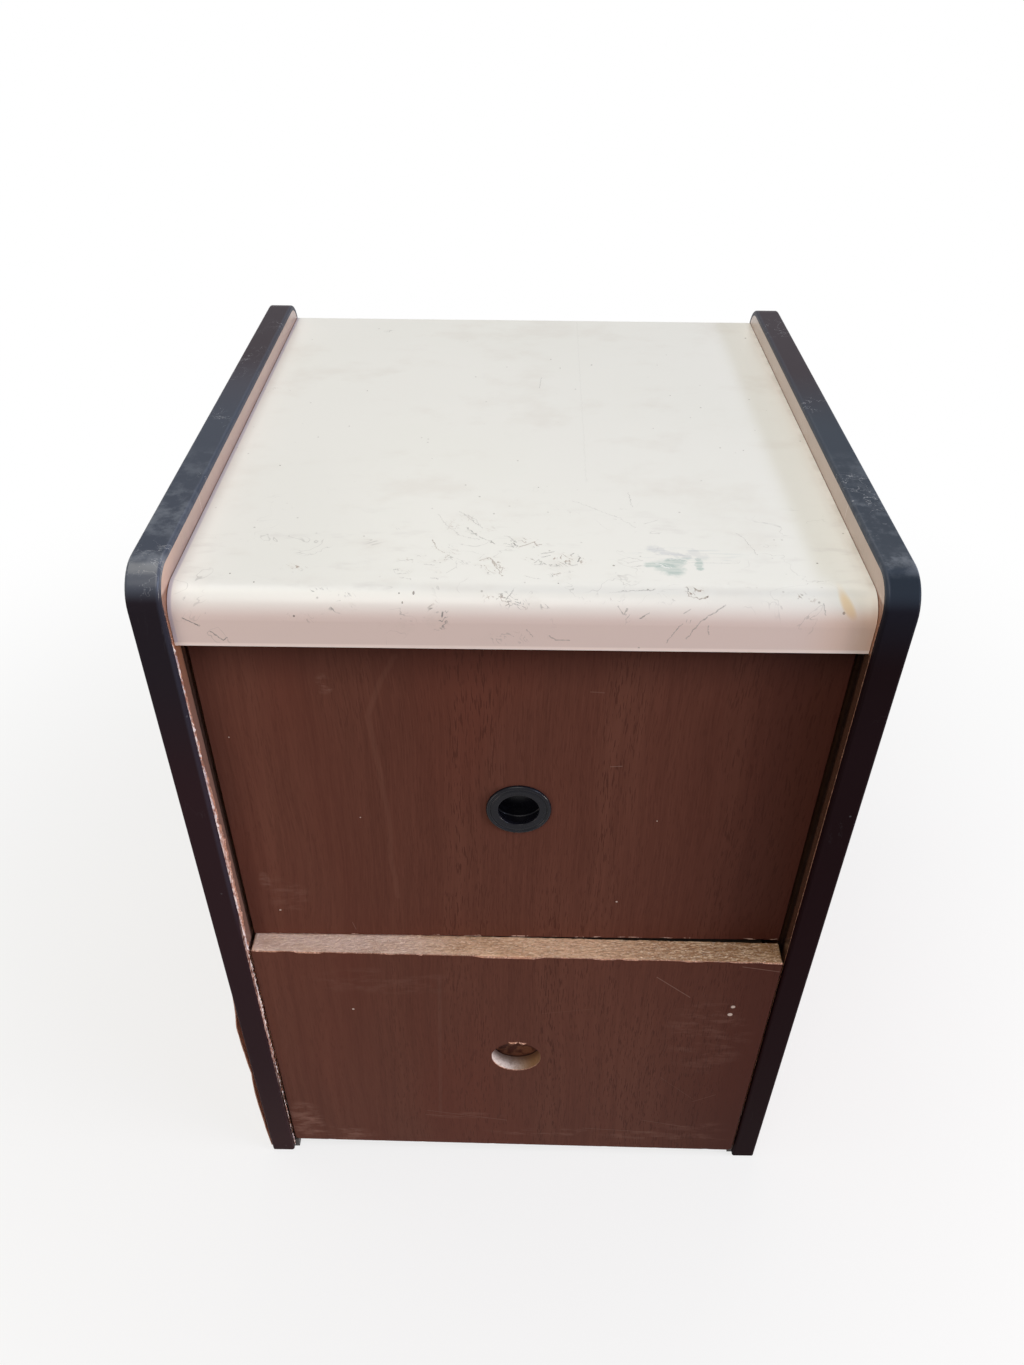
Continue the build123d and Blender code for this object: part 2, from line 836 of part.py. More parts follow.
def drawer(name, z, front_bottom, hole_x, hole_z, open_by, loose):
    """All sub-parts of one drawer, moved out by open_by."""
    nodes = {}
    core, sheet = front_boards(front_bottom, hole_x, hole_z)
    if loose:
        core, sheet = loosened(core), loosened(sheet)
    screw_places = front_screw_places(z)
    screw_holes = [front_screw_hole(x, screw_z) for x, screw_z in screw_places]
    nodes["front_core"] = cut_all(core, screw_holes)
    nodes["front_laminate"] = sheet
    for side in ("left", "right"):
        nodes[f"box_{side}_side"] = on_side(side, box_side(z))
        nodes[f"{side}_drawer_runner"] = on_side(side, drawer_runner(z))
        wheel = roller(rear_roller_depth, z + roller_lift)
        nodes[f"{side}_drawer_roller"] = on_side(side, wheel)
    nodes["box_front"] = cut_all(box_end(z, front_back_plane), screw_holes)
    nodes["box_back"] = box_end(z, box_rear - box_board)
    nodes["box_bottom"] = box_bottom_slot(z, 0)
    rails = [on_side(side, file_rail(z, 0)) for side in ("left", "right")]
    nodes["file_rails"] = group(rails)
    axles = [on_side(side, drawer_axle(z)) for side in ("left", "right")]
    nodes["drawer_axles"] = group(axles)
    screws = [front_screw(x, screw_z) for x, screw_z in screw_places]
    for side in ("left", "right"):
        screws += [on_side(side, drawer_screw(d, z)) for d in drawer_screw_depths]
        screws += [on_side(side, corner_screw(d, screw_z)) for d, screw_z in corner_screw_places(z)]
    nodes["drawer_screws"] = group(screws)
    shift = Pos(0, -open_by, 0)
    return {f"{name}_{key}": shift * part for key, part in nodes.items()}


parts = {}
for side in ("left", "right"):
    parts[f"{side}_side_core"] = on_side(side, side_core())
    parts[f"{side}_inner_laminate"] = on_side(side, inner_sheet())
    parts[f"{side}_edge_band"] = on_side(side, edge_band())
    for end in ("front", "rear"):
        parts[f"{end}_{side}_glide"] = on_side(side, glide(end))
parts["left_outer_laminate"] = on_side("left", bowed_sheet())
parts["right_outer_laminate"] = outer_sheet()
parts["top_core"] = top_core()
parts["top_front_strip"] = top_strip()
parts["top_laminate"] = top_sheet()
parts["bottom_panel"] = bottom_panel()
parts["middle_rail"] = middle_rail()
parts["back_panel"] = back_panel()
parts["back_panel_pins"] = group([back_pin(x) for x in back_pin_places()])

dowels = []
nails = []
cabinet_screws = []
cabinet_axles = []
for side in ("left", "right"):
    dowels += [on_side(side, dowel(d, z)) for d, z in dowel_rows]
    nails += [on_side(side, nail(end)) for end in ("front", "rear")]
    for name, z in (("lower", lower_box_bottom), ("upper", upper_box_bottom)):
        parts[f"{name}_{side}_cabinet_runner"] = on_side(side, cabinet_runner(z))
        wheel = roller(front_roller_depth, z + front_roller_lift)
        parts[f"{name}_{side}_cabinet_roller"] = on_side(side, wheel)
        cabinet_axles.append(on_side(side, cabinet_axle(z)))
        cabinet_screws += [on_side(side, cabinet_screw(d, z)) for d in cabinet_screw_depths]
parts["carcass_dowels"] = group(dowels)
parts["glide_nails"] = group(nails)
parts["cabinet_runner_screws"] = group(cabinet_screws)
parts["cabinet_roller_axles"] = group(cabinet_axles)

pull_x = 0.0
pull_z = upper_front_bottom + front_height / 2 + pull_offset_z
upper = drawer("upper", upper_box_bottom, upper_front_bottom, pull_x, pull_z, 0.0, False)
parts.update(upper)
parts["upper_cup_pull"] = cup_pull(pull_x, pull_z)

bare_z = lower_front_bottom + front_height / 2 + bare_hole_offset_z
lower = drawer(
    "lower", lower_box_bottom, lower_front_bottom, bare_hole_offset_x, bare_z, lower_ajar, True
)
parts.update(lower)

os.makedirs("parts", exist_ok=True)
for name, part in parts.items():
    export_step(part, f"parts/{name}.step")

# Axis and centre of the bare hole in the lower front, which is turned with it
turn = radians(lower_front_yaw)
hole_dx = bare_hole_offset_x + front_width / 2
hole_dy = front_recess - front_back_plane
hole_x = -front_width / 2 + hole_dx * cos(turn) + hole_dy * sin(turn)
hole_y = depth_to_y(front_back_plane) - hole_dx * sin(turn) + hole_dy * cos(turn) - lower_ajar
print("nodes", len(parts))
print("bare hole mouth", round(hole_x, 3), round(hole_y, 3), round(bare_z, 3))
print("bare hole axis", round(-sin(turn), 6), round(-cos(turn), 6), 0)
print("front bottoms", round(lower_front_bottom, 2), round(upper_front_bottom, 2))
print("box bottoms", round(lower_box_bottom, 2), round(upper_box_bottom, 2))
print("roller axes", round(front_roller_depth, 2), round(rear_roller_depth, 2))
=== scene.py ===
"""Finishes, worn pieces and studio for a two-drawer filing cabinet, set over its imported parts."""
import json
import math

import bmesh
import bpy
from bpy.props import FloatProperty, FloatVectorProperty, IntProperty, PointerProperty
from mathutils import Matrix, Vector, noise
from mathutils.geometry import tessellate_polygon


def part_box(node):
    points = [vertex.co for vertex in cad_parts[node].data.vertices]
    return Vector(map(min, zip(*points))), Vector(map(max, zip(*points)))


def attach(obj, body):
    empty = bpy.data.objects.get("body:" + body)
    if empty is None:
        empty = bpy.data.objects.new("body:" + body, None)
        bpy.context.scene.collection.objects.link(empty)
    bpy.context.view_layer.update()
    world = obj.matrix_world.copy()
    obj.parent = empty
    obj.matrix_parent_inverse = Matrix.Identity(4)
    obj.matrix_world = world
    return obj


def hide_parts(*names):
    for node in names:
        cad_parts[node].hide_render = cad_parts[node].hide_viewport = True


bl_info = {
    "name": "Filing Cabinet Finish",
    "version": (1, 0, 0),
    "blender": (4, 5, 0),
    "location": "3D View > Sidebar > Cabinet",
    "description": "Finishes, worn edges and studio for a two-drawer filing cabinet",
    "category": "Object",
}

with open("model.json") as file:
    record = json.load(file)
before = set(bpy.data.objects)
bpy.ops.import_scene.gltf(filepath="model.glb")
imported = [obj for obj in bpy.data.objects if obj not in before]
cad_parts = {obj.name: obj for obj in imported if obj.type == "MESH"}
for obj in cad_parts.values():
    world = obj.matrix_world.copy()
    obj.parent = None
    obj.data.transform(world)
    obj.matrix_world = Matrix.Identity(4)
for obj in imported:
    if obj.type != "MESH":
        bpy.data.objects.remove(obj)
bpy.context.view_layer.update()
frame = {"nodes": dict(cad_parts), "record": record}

MM = 0.001
# Points closer than WELD are one, and points closer than TOUCH lie on one edge or face
WELD = 0.001 * MM
TOUCH = 0.01 * MM
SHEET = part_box("right_outer_laminate")[1].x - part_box("right_outer_laminate")[0].x
PULL_LOW, PULL_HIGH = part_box("upper_cup_pull")
PULL_CENTRE = (PULL_LOW + PULL_HIGH) / 2
BARE_HOLE = next(m for m in frame["record"]["mounts"] if m["name"] == "lower_pull_hole")


def linear(red, green, front_sheen):
    """Linear colour of a screen colour given from 0 to 255."""
    shares = (red / 255, green / 255, front_sheen / 255)
    return tuple(s / 12.92 if s <= 0.04045 else ((s + 0.055) / 1.055) ** 2.4 for s in shares)


def colour(name, description, red, green, front_sheen):
    """A colour setting, given as a screen colour from 0 to 255."""
    return FloatVectorProperty(
        name=name, description=description, subtype="COLOR", size=3, min=0.0, max=1.0,
        default=linear(red, green, front_sheen),
    )


def length(name, description, default):
    """A length setting in metres."""
    return FloatProperty(
        name=name, description=description, subtype="DISTANCE", unit="LENGTH", min=0.0,
        precision=5, default=default,
    )


def power(name, description, default):
    """A lamp's power setting in watts."""
    return FloatProperty(
        name=name, description=description, subtype="POWER", unit="POWER", min=0.0,
        default=default,
    )


class CabinetColours(bpy.types.PropertyGroup):
    """Colours of the cabinet's finishes."""

    worktop: colour("Worktop", "Cream sheet of the worktop", 239, 238, 233)
    front: colour("Fronts", "Brown sheet of the drawer fronts", 105, 64, 53)
    side: colour("Sides", "Brown sheet of the sides", 148, 100, 74)
    band: colour("Edge band", "Black plastic of the sides' bands", 28, 17, 20)
    pull: colour("Pull", "Dark plastic of the cup pull", 20, 20, 27)
    glide: colour("Glides", "Dark plastic under the sides", 40, 32, 30)
    chipboard: colour("Chipboard", "Raw edge of the boards", 214, 174, 138)
    raw_paper: colour("Torn sheet", "Broken edge of the laminate", 224, 176, 152)
    fibre: colour("Torn fibre", "Fibres left along the left band", 255, 238, 230)
    sheet_back: colour("Sheet back", "Brown paper behind the loose side sheet", 190, 140, 120)
    box: colour("Drawer boxes", "Pale foil of the drawer boxes", 214, 196, 168)
    hardboard: colour("Hardboard", "Back and drawer bottoms", 138, 98, 68)
    dowel: colour("Dowels", "Beech of the dowels", 222, 192, 150)
    enamel: colour("Runners", "Stove enamel of the runners", 226, 221, 208)
    zinc: colour("Screws", "Zinc plate of the screws", 186, 186, 180)
    rail: colour("File rails", "Bright steel of the rails", 196, 196, 194)
    nylon: colour("Rollers", "Nylon of the rollers", 238, 236, 226)


class CabinetWear(bpy.types.PropertyGroup):
    """How far the edges are worn."""

    point_spacing: length("Spacing", "Distance between points along a torn edge", 0.8 * MM)
    sheet_roughness: length("Sheet edge", "Unevenness of a sheet's cut edge", 0.35 * MM)
    torn_roughness: length("Torn edge", "Unevenness of the lower front's torn top edge", 0.8 * MM)
    bite_depth: length("Bite", "Deepest piece torn out of the lower front's top edge", 2.3 * MM)
    side_tear: length("Side tear", "Most torn off the left side's sheet beside its band", 8.5 * MM)
    side_nick: length("Side nicks", "Width worn off the right side's sheet", 0.9 * MM)
    hole_chip: length("Hole chips", "Deepest chip at the rim of the bare hole", 0.9 * MM)
    rim_lift: length("Rim lift", "How far the torn remnant stands up beside the left band", 1.3 * MM)
    rim_width: length("Rim width", "Width of the torn remnant beside the left band", 3.8 * MM)
    loose_bow: length("Loose bow", "How much further the left side's loose sheet bows out", 1.0 * MM)
    loose_depth: length("Loose depth", "How far back the left side's sheet is loose", 0.150)
    raw_edge_height: length("Raw edge", "Height of board modelled as crumbled edge", 6.0 * MM)
    crumble: length("Crumble", "Relief of the raw chipboard edge", 0.3 * MM)
    flake_lift: length("Flake", "How far the torn flakes stand off the hole's rim", 0.9 * MM)


class CabinetStudio(bpy.types.PropertyGroup):
    """Floor, lamps and camera."""

    lens: FloatProperty(
        name="Lens", description="Focal length on a 36 mm sensor", default=27.37, min=1.0,
        subtype="DISTANCE_CAMERA",
    )
    pitch: FloatProperty(
        name="Pitch", description="Angle that the camera looks down", subtype="ANGLE",
        default=math.radians(38.76),
    )
    yaw: FloatProperty(
        name="Yaw", description="Angle that the camera turns to its right", subtype="ANGLE",
        default=math.radians(-0.22),
    )
    roll: FloatProperty(
        name="Roll", description="Tilt of the camera about its line of sight", subtype="ANGLE",
        default=math.radians(-0.57),
    )
    place: FloatVectorProperty(
        name="Camera", description="Where the camera stands", subtype="TRANSLATION",
        unit="LENGTH", size=3, default=(-0.00336, -0.6814, 0.9122),
    )
    floor: colour("Floor", "Pale floor as it is seen", 236, 235, 233)
    floor_bounce: colour("Floor bounce", "Floor as it throws light up at the cabinet", 128, 118, 110)
    sky: FloatProperty(
        name="Sky", description="Strength of the soft light from all around", default=0.02,
        min=0.0,
    )
    overhead: power("Overhead lamp", "Power of the lamp above", 14.4)
    overhead_tint: colour("Overhead tint", "Colour of the lamp above", 255, 252, 243)
    rear: power("Rear lamp", "Power of the high lamp behind", 9.2)
    rear_tint: colour("Rear tint", "Colour of the high lamp behind", 255, 252, 243)
    window: power("Window lamp", "Power of the wide lamp at the front right", 25.0)
    window_tint: colour("Window tint", "Colour of the wide lamp", 207, 220, 255)
    front: power("Front lamp", "Power of the high lamp behind the camera", 18.0)
    front_tint: colour("Front tint", "Colour of the high lamp behind the camera", 255, 250, 242)
    fill: power("Fill lamp", "Power of the low soft lamp at the front left", 3.0)
    fill_tint: colour("Fill tint", "Colour of the soft lamp", 255, 240, 230)
    side: power("Side lamp", "Power of the low lamp at the right", 14.0)
    side_tint: colour("Side tint", "Colour of the low lamp at the right", 255, 244, 236)


class CabinetSettings(bpy.types.PropertyGroup):
    """Everything that a user would change."""

    colours: PointerProperty(type=CabinetColours)
    wear: PointerProperty(type=CabinetWear)
    studio: PointerProperty(type=CabinetStudio)
    seed: IntProperty(name="Seed", description="Start of the uneven edges' noise", default=7)


class Value:
    """A socket of one node tree. Arithmetic on it adds the Math nodes that work it out."""

    def __init__(self, owner, socket):
        self.owner = owner
        self.socket = socket

    def math(self, operation, *terms):
        return self.owner.node("ShaderNodeMath", {"operation": operation}, dict(enumerate(terms)))

    def __add__(self, other):
        return self.math("ADD", self, other)

    def __sub__(self, other):
        return self.math("SUBTRACT", self, other)

    def __rsub__(self, other):
        return self.math("SUBTRACT", other, self)

    def __mul__(self, other):
        return self.math("MULTIPLY", self, other)

    def __abs__(self):
        return self.math("ABSOLUTE", self)

    __radd__ = __add__
    __rmul__ = __mul__

    def below(self, other):
        return self.math("MINIMUM", self, other)

    def above(self, other):
        return self.math("MAXIMUM", self, other)

    def step(self, start, end):
        """Rises smoothly from 0 at start to 1 at end, which may be the lower of the two."""
        return self.owner.node(
            "ShaderNodeMapRange", {"interpolation_type": "SMOOTHSTEP"},
            {"Value": self, "From Min": start, "From Max": end},
        )

    def axis(self, name):
        return self.owner.node("ShaderNodeSeparateXYZ", {}, {0: self}, name)


class Shading:
    """A node tree under construction."""

    def __init__(self, tree):
        self.tree = tree

    def node(self, kind, settings=None, inputs=None, output=0):
        """Adds a node, sets it, then sets or links its inputs."""
        made = self.tree.nodes.new(kind)
        for name, value in (settings or {}).items():
            setattr(made, name, value)
        for name, value in (inputs or {}).items():
            if isinstance(value, Value):
                self.tree.links.new(value.socket, made.inputs[name])
            else:
                made.inputs[name].default_value = value
        return Value(self, made.outputs[output])

    def seen(self):
        """1 for a ray of the camera, a reflection or a view through glass, and 0 for others."""
        camera, glossy, clear = (
            self.node("ShaderNodeLightPath", output=f"Is {kind} Ray")
            for kind in ("Camera", "Glossy", "Transmission")
        )
        return camera.above(glossy).above(clear)


class Finish(Shading):
    """A procedural material under construction, in metres of the cabinet's own frame."""

    def __init__(self, name, constants):
        self.material = bpy.data.materials.new(name)
        self.material.use_nodes = True
        super().__init__(self.material.node_tree)
        self.surface = self.tree.nodes["Principled BSDF"]
        for socket, value in constants.items():
            self.surface.inputs[socket].default_value = value
        self.place = self.node("ShaderNodeTexCoord", output="Object")
        self.x, self.y, self.z = (self.place.axis(name) for name in "XYZ")

    def vector(self, operation, *terms, output=0):
        inputs = dict(enumerate(terms))
        return self.node("ShaderNodeVectorMath", {"operation": operation}, inputs, output)

    def scaled(self, scale, offset, place=None):
        """A place, else this finish's own, times a scale for all axes or each, plus an offset."""
        scales = scale if isinstance(scale, tuple) else (scale,) * 3
        return self.vector("MULTIPLY_ADD", place or self.place, scales, offset)

    def point(self, x, y, z):
        return self.node("ShaderNodeCombineXYZ", {}, {0: x, 1: y, 2: z})

    def noise(self, scale, detail, seed=0.0, roughness=0.5, distortion=0.0, place=None):
        """Soft noise about 0.5, with scale in cycles per metre."""
        return self.node(
            "ShaderNodeTexNoise", {},
            {
                "Vector": self.scaled(scale, (seed, seed * 0.7, -seed), place), "Scale": 1.0,
                "Detail": detail, "Roughness": roughness, "Distortion": distortion,
            },
        )

    def cells(self, scale, seed, output="Distance"):
        """Voronoi cells, with scale in cells per metre."""
        return self.node(
            "ShaderNodeTexVoronoi", {},
            {"Vector": self.scaled(scale, (seed, -seed, seed * 0.3)), "Scale": 1.0}, output,
        )

    def blend(self, mask, under, over):
        """Colour under with colour over laid on it where mask is 1."""
        return self.node(
            "ShaderNodeMix", {"data_type": "RGBA"},
            {0: mask, 6: shade(under), 7: shade(over)}, 2,
        )

    def spot(self, across, along, centre, reach, softness=0.35):
        """1 inside an ellipse about a centre, falling to 0 at its rim."""
        dx = (across - centre[0]) * (1 / reach[0])
        dy = (along - centre[1]) * (1 / reach[1])
        return (dx * dx + dy * dy).step(1.0, 1.0 - softness)

    def stroke(self, place, start, end, width):
        """1 on a straight scratch from start to end, fading over its width."""
        run = end - start
        off = self.vector("SUBTRACT", place, start)
        reached = self.vector("DOT_PRODUCT", off, run / run.length_squared, output=1)
        share = reached.above(0.0).below(1.0)
        nearest = self.node("ShaderNodeVectorMath", {"operation": "SCALE"}, {0: run, 3: share})
        return self.vector("DISTANCE", off, nearest, output=1).step(width, width * 0.3)

    def highest(self, masks):
        """The highest of some masks, each worked out just before it is used."""
        whole = next(masks)
        for mask in masks:
            whole = whole.above(mask)
        return whole

    def places(self, across, along, table):
        """Soft ellipses of a table in millimetres, each with its own strength."""
        return self.highest(
            self.spot(across, along, (x * MM, y * MM), (rx * MM, ry * MM), 0.85) * strength
            for x, y, rx, ry, strength in table
        )

    def dots(self, across, along, table):
        """Round dots of a table in millimetres."""
        return self.highest(
            self.spot(across, along, (x * MM, y * MM), (r * MM, r * MM), 0.5) for x, y, r in table
        )

    def strokes(self, across, along, table):
        """Scratches of a table in millimetres, each along its own points."""
        place = self.point(across, along, 0.0)
        return self.highest(
            self.stroke(place, Vector((*a, 0.0)) * MM, Vector((*b, 0.0)) * MM, wide * MM) * strength
            for wide, strength, *points in table for a, b in zip(points, points[1:])
        )

    def lay(self, mask, over):
        """Lays a colour over the finish so far where mask is 1."""
        self.tone = self.blend(mask, self.tone, over)

    def finish(self, roughness=None, relief=None, depth=0.0002, strength=0.5, coat=None):
        """Links the surface's varying inputs, with relief as a bump of some depth in metres."""
        links = {"Base Color": self.tone, "Roughness": roughness, "Coat Weight": coat}
        if relief:
            links["Normal"] = self.node(
                "ShaderNodeBump", {},
                {"Strength": strength, "Distance": depth, "Height": relief},
            )
        for name, value in links.items():
            if value:
                self.tree.links.new(value.socket, self.surface.inputs[name])
        return self.material


def shade(value):
    """A colour as its socket takes it."""
    return value if isinstance(value, Value) else (*tuple(value)[:3], 1.0)


def tinted(base, factor, shift=(0.0, 0.0, 0.0)):
    """A colour made lighter or darker by a factor, with a small shift of each channel."""
    return tuple(min(1.0, max(0.0, c * factor + s)) for c, s in zip(base, shift))


# Scuffed places of the worktop in millimetres: x, y, reach across, reach along, strength
TOP_SCUFFS = (
    (-67, -182, 9, 12, 0.5), (-47, -173, 20, 17, 0.55), (-19, -178, 13, 13, 0.9),
    (0, -154, 18, 8, 0.9), (20, -172, 22, 9, 1.0), (23, -190, 11, 8, 0.6), (96, -201, 9, 5, 0.9),
    (-33, -138, 20, 20, 0.3), (-129, -184, 9, 6, 0.7), (-74, -137, 8, 5, 0.6),
    (145, -208, 12, 5, 0.8), (-106, -207, 18, 6, 0.8), (-2, -209, 26, 7, 0.8),
    (-111, 186, 8, 5, 0.4), (-85, 176, 11, 5, 0.5), (-186, 60, 7, 8, 0.35), (60, -207, 40, 5, 0.3),
)
# The same on the upright front of the worktop: x, z
DROP_SCUFFS = (
    (-99, 586, 9, 4, 1.0), (-64, 576, 7, 7, 0.8), (-47, 581, 9, 10, 0.8), (57, 581, 6, 4, 0.7),
    (70, 580, 6, 3, 0.8), (92, 582, 7, 3, 0.6), (2, 589, 22, 4, 0.7), (-10, 568, 22, 6, 0.3),
    (150, 591, 14, 4, 0.6), (-183, 588, 6, 4, 0.5), (-120, 580, 20, 4, 0.3),
)
# Scratches on the worktop in millimetres: half width, strength, and the points they run through
TOP_SCRATCHES = (
    (0.35, 0.25, (-52, -122), (-44, -138), (-37, -147), (-25, -151)),
    (0.35, 0.5, (-34, -137), (-29, -144), (-23, -150), (-16, -156)),
    (0.4, 0.4, (-36, -121), (-29, -131), (-24, -138)),
    (0.4, 0.25, (-39, -118), (-30, -126), (-25, -135)), (0.35, 0.3, (-72, -176), (-63, -174)),
    (0.35, 0.35, (-70, -189), (-65, -189)), (0.35, 0.3, (-69, -193), (-62, -195)),
    (0.35, 0.35, (-56, -179), (-50, -180)), (0.4, 0.5, (-51, -193), (-47, -194)),
    (0.3, 0.25, (-38, -175), (-37, -183)), (0.3, 0.25, (-43, -188), (-37, -181)),
    (0.35, 0.4, (-11, -147), (-8, -148), (-5, -153)), (0.45, 0.6, (11, -166), (18, -164)),
    (0.4, 0.55, (11, -170), (16, -168)),
    (0.35, 0.4, (7, -176), (9, -173), (11, -174), (10, -178), (7, -178)),
    (0.45, 0.6, (24, -175), (28, -178), (31, -178)), (0.45, 0.6, (28, -167), (30, -165)),
    (0.55, 0.8, (33, -170), (32, -174)), (0.35, 0.25, (1, -190), (10, -193)),
    (0.45, 0.4, (6, -205), (17, -205), (28, -206)), (0.4, 0.5, (-9, -204), (-6, -204)),
    (0.45, 0.55, (37, -205), (60, -202), (73, -201)),
    (0.3, 0.25, (31, -103), (58, -123), (68, -135)), (0.3, 0.3, (73, -131), (82, -126)),
    (0.3, 0.3, (67, -91), (68, -110)),
    (0.3, 0.25, (55, -172), (62, -169), (69, -172), (61, -175), (55, -172)),
    (0.3, 0.3, (128, -140), (132, -148), (136, -165)), (0.35, 0.35, (107, -211), (115, -206)),
    (0.35, 0.35, (121, -207), (133, -211), (138, -213)), (0.3, 0.3, (62, -179), (73, -177)),
    (0.3, 0.2, (95, -174), (123, -174)), (0.35, 0.3, (14, 90), (12, 70)),
    (0.6, 0.05, (46, 213), (41, -78)),
)
# The brown ones among them
BROWN_SCRATCHES = (
    (0.6, 0.7, (-53, -152), (-51, -158)), (0.4, 0.5, (-51, -158), (-50, -162), (-45, -166)),
    (0.5, 0.6, (-24, -174), (-19, -171), (-14, -181), (-10, -182)),
    (0.45, 0.7, (-18, -174), (-16, -178), (-15.5, -181), (-12.5, -185), (-13, -188), (-11, -190)),
    (0.4, 0.5, (-11, -181), (-12, -187)), (0.4, 0.4, (-16, -176), (-13, -180), (-13, -183)),
    (0.5, 0.6, (-2, -159), (3, -156), (7, -153)), (0.5, 0.7, (7, -153), (8, -157), (11, -156)),
    (0.8, 0.5, (18, -188), (21, -187)),
    (0.45, 0.6, (91, -203), (93, -205), (98, -206), (102, -205)),
)
DROP_SCRATCHES = (
    (0.35, 0.45, (81, 566), (87, 577), (89, 579)),
    (0.45, 0.4, (92, 569), (98, 580), (103, 584), (112, 589)), (0.35, 0.3, (104, 572), (103, 578)),
    (0.35, 0.4, (53, 588), (56, 584), (58, 587)), (0.4, 0.5, (65, 582), (70, 585)),
    (0.35, 0.4, (89, 585), (93, 587)), (0.35, 0.4, (3, 574), (6, 569)),
    (0.5, 0.35, (15, 570), (19, 567), (27, 567)), (0.35, 0.4, (-9, 590), (-4, 594), (4, 597)),
    (0.4, 0.8, (-188, 579), (-180, 574)), (0.4, 0.6, (-174, 570), (-168, 564), (-165, 566)),
    (0.4, 0.4, (166, 590), (167, 585)),
)
# Wet smear left on the worktop by the right, drawn in broad strokes in the same way
SMEAR_STROKES = (
    (5.0, 0.5, (76, -159), (82, -163)), (3.6, 0.6, (82, -163), (95, -168)),
    (4.0, 0.8, (72, -177), (80, -176)), (8.5, 1.0, (81, -178), (86, -182)),
    (4.0, 0.9, (84, -173), (91, -174)), (3.0, 0.9, (101, -171), (101, -180)),
    (5.0, 0.35, (99, -163), (104, -168)),
)
SMEAR_GAPS = ((0.8, 1.0, (77, -175), (80, -178), (83, -180)), (0.5, 0.8, (80, -175), (85, -179)))
# Dark dots on the worktop: x, y, radius; and on its front: x, z, radius
TOP_DOTS = (
    (52, -178, 0.8), (10, -86, 0.5), (22, 128, 0.6), (29, 110, 0.6), (54, 117, 0.8),
    (-164, -191, 0.6), (-149, -199, 0.5), (169, -173, 0.7), (186, 179, 0.9), (20, -197, 0.5),
    (102, -205, 0.6), (-68, -205, 0.5), (-66, -209, 0.5), (-117, 62, 0.6), (110, 60, 0.5),
    (-160, -60, 0.6), (150, -30, 0.5),
)
DROP_DOTS = ((177, 586, 0.9), (66, 562, 0.8), (-126, 581, 0.7), (144, 597, 0.9), (-60, 592, 0.7))


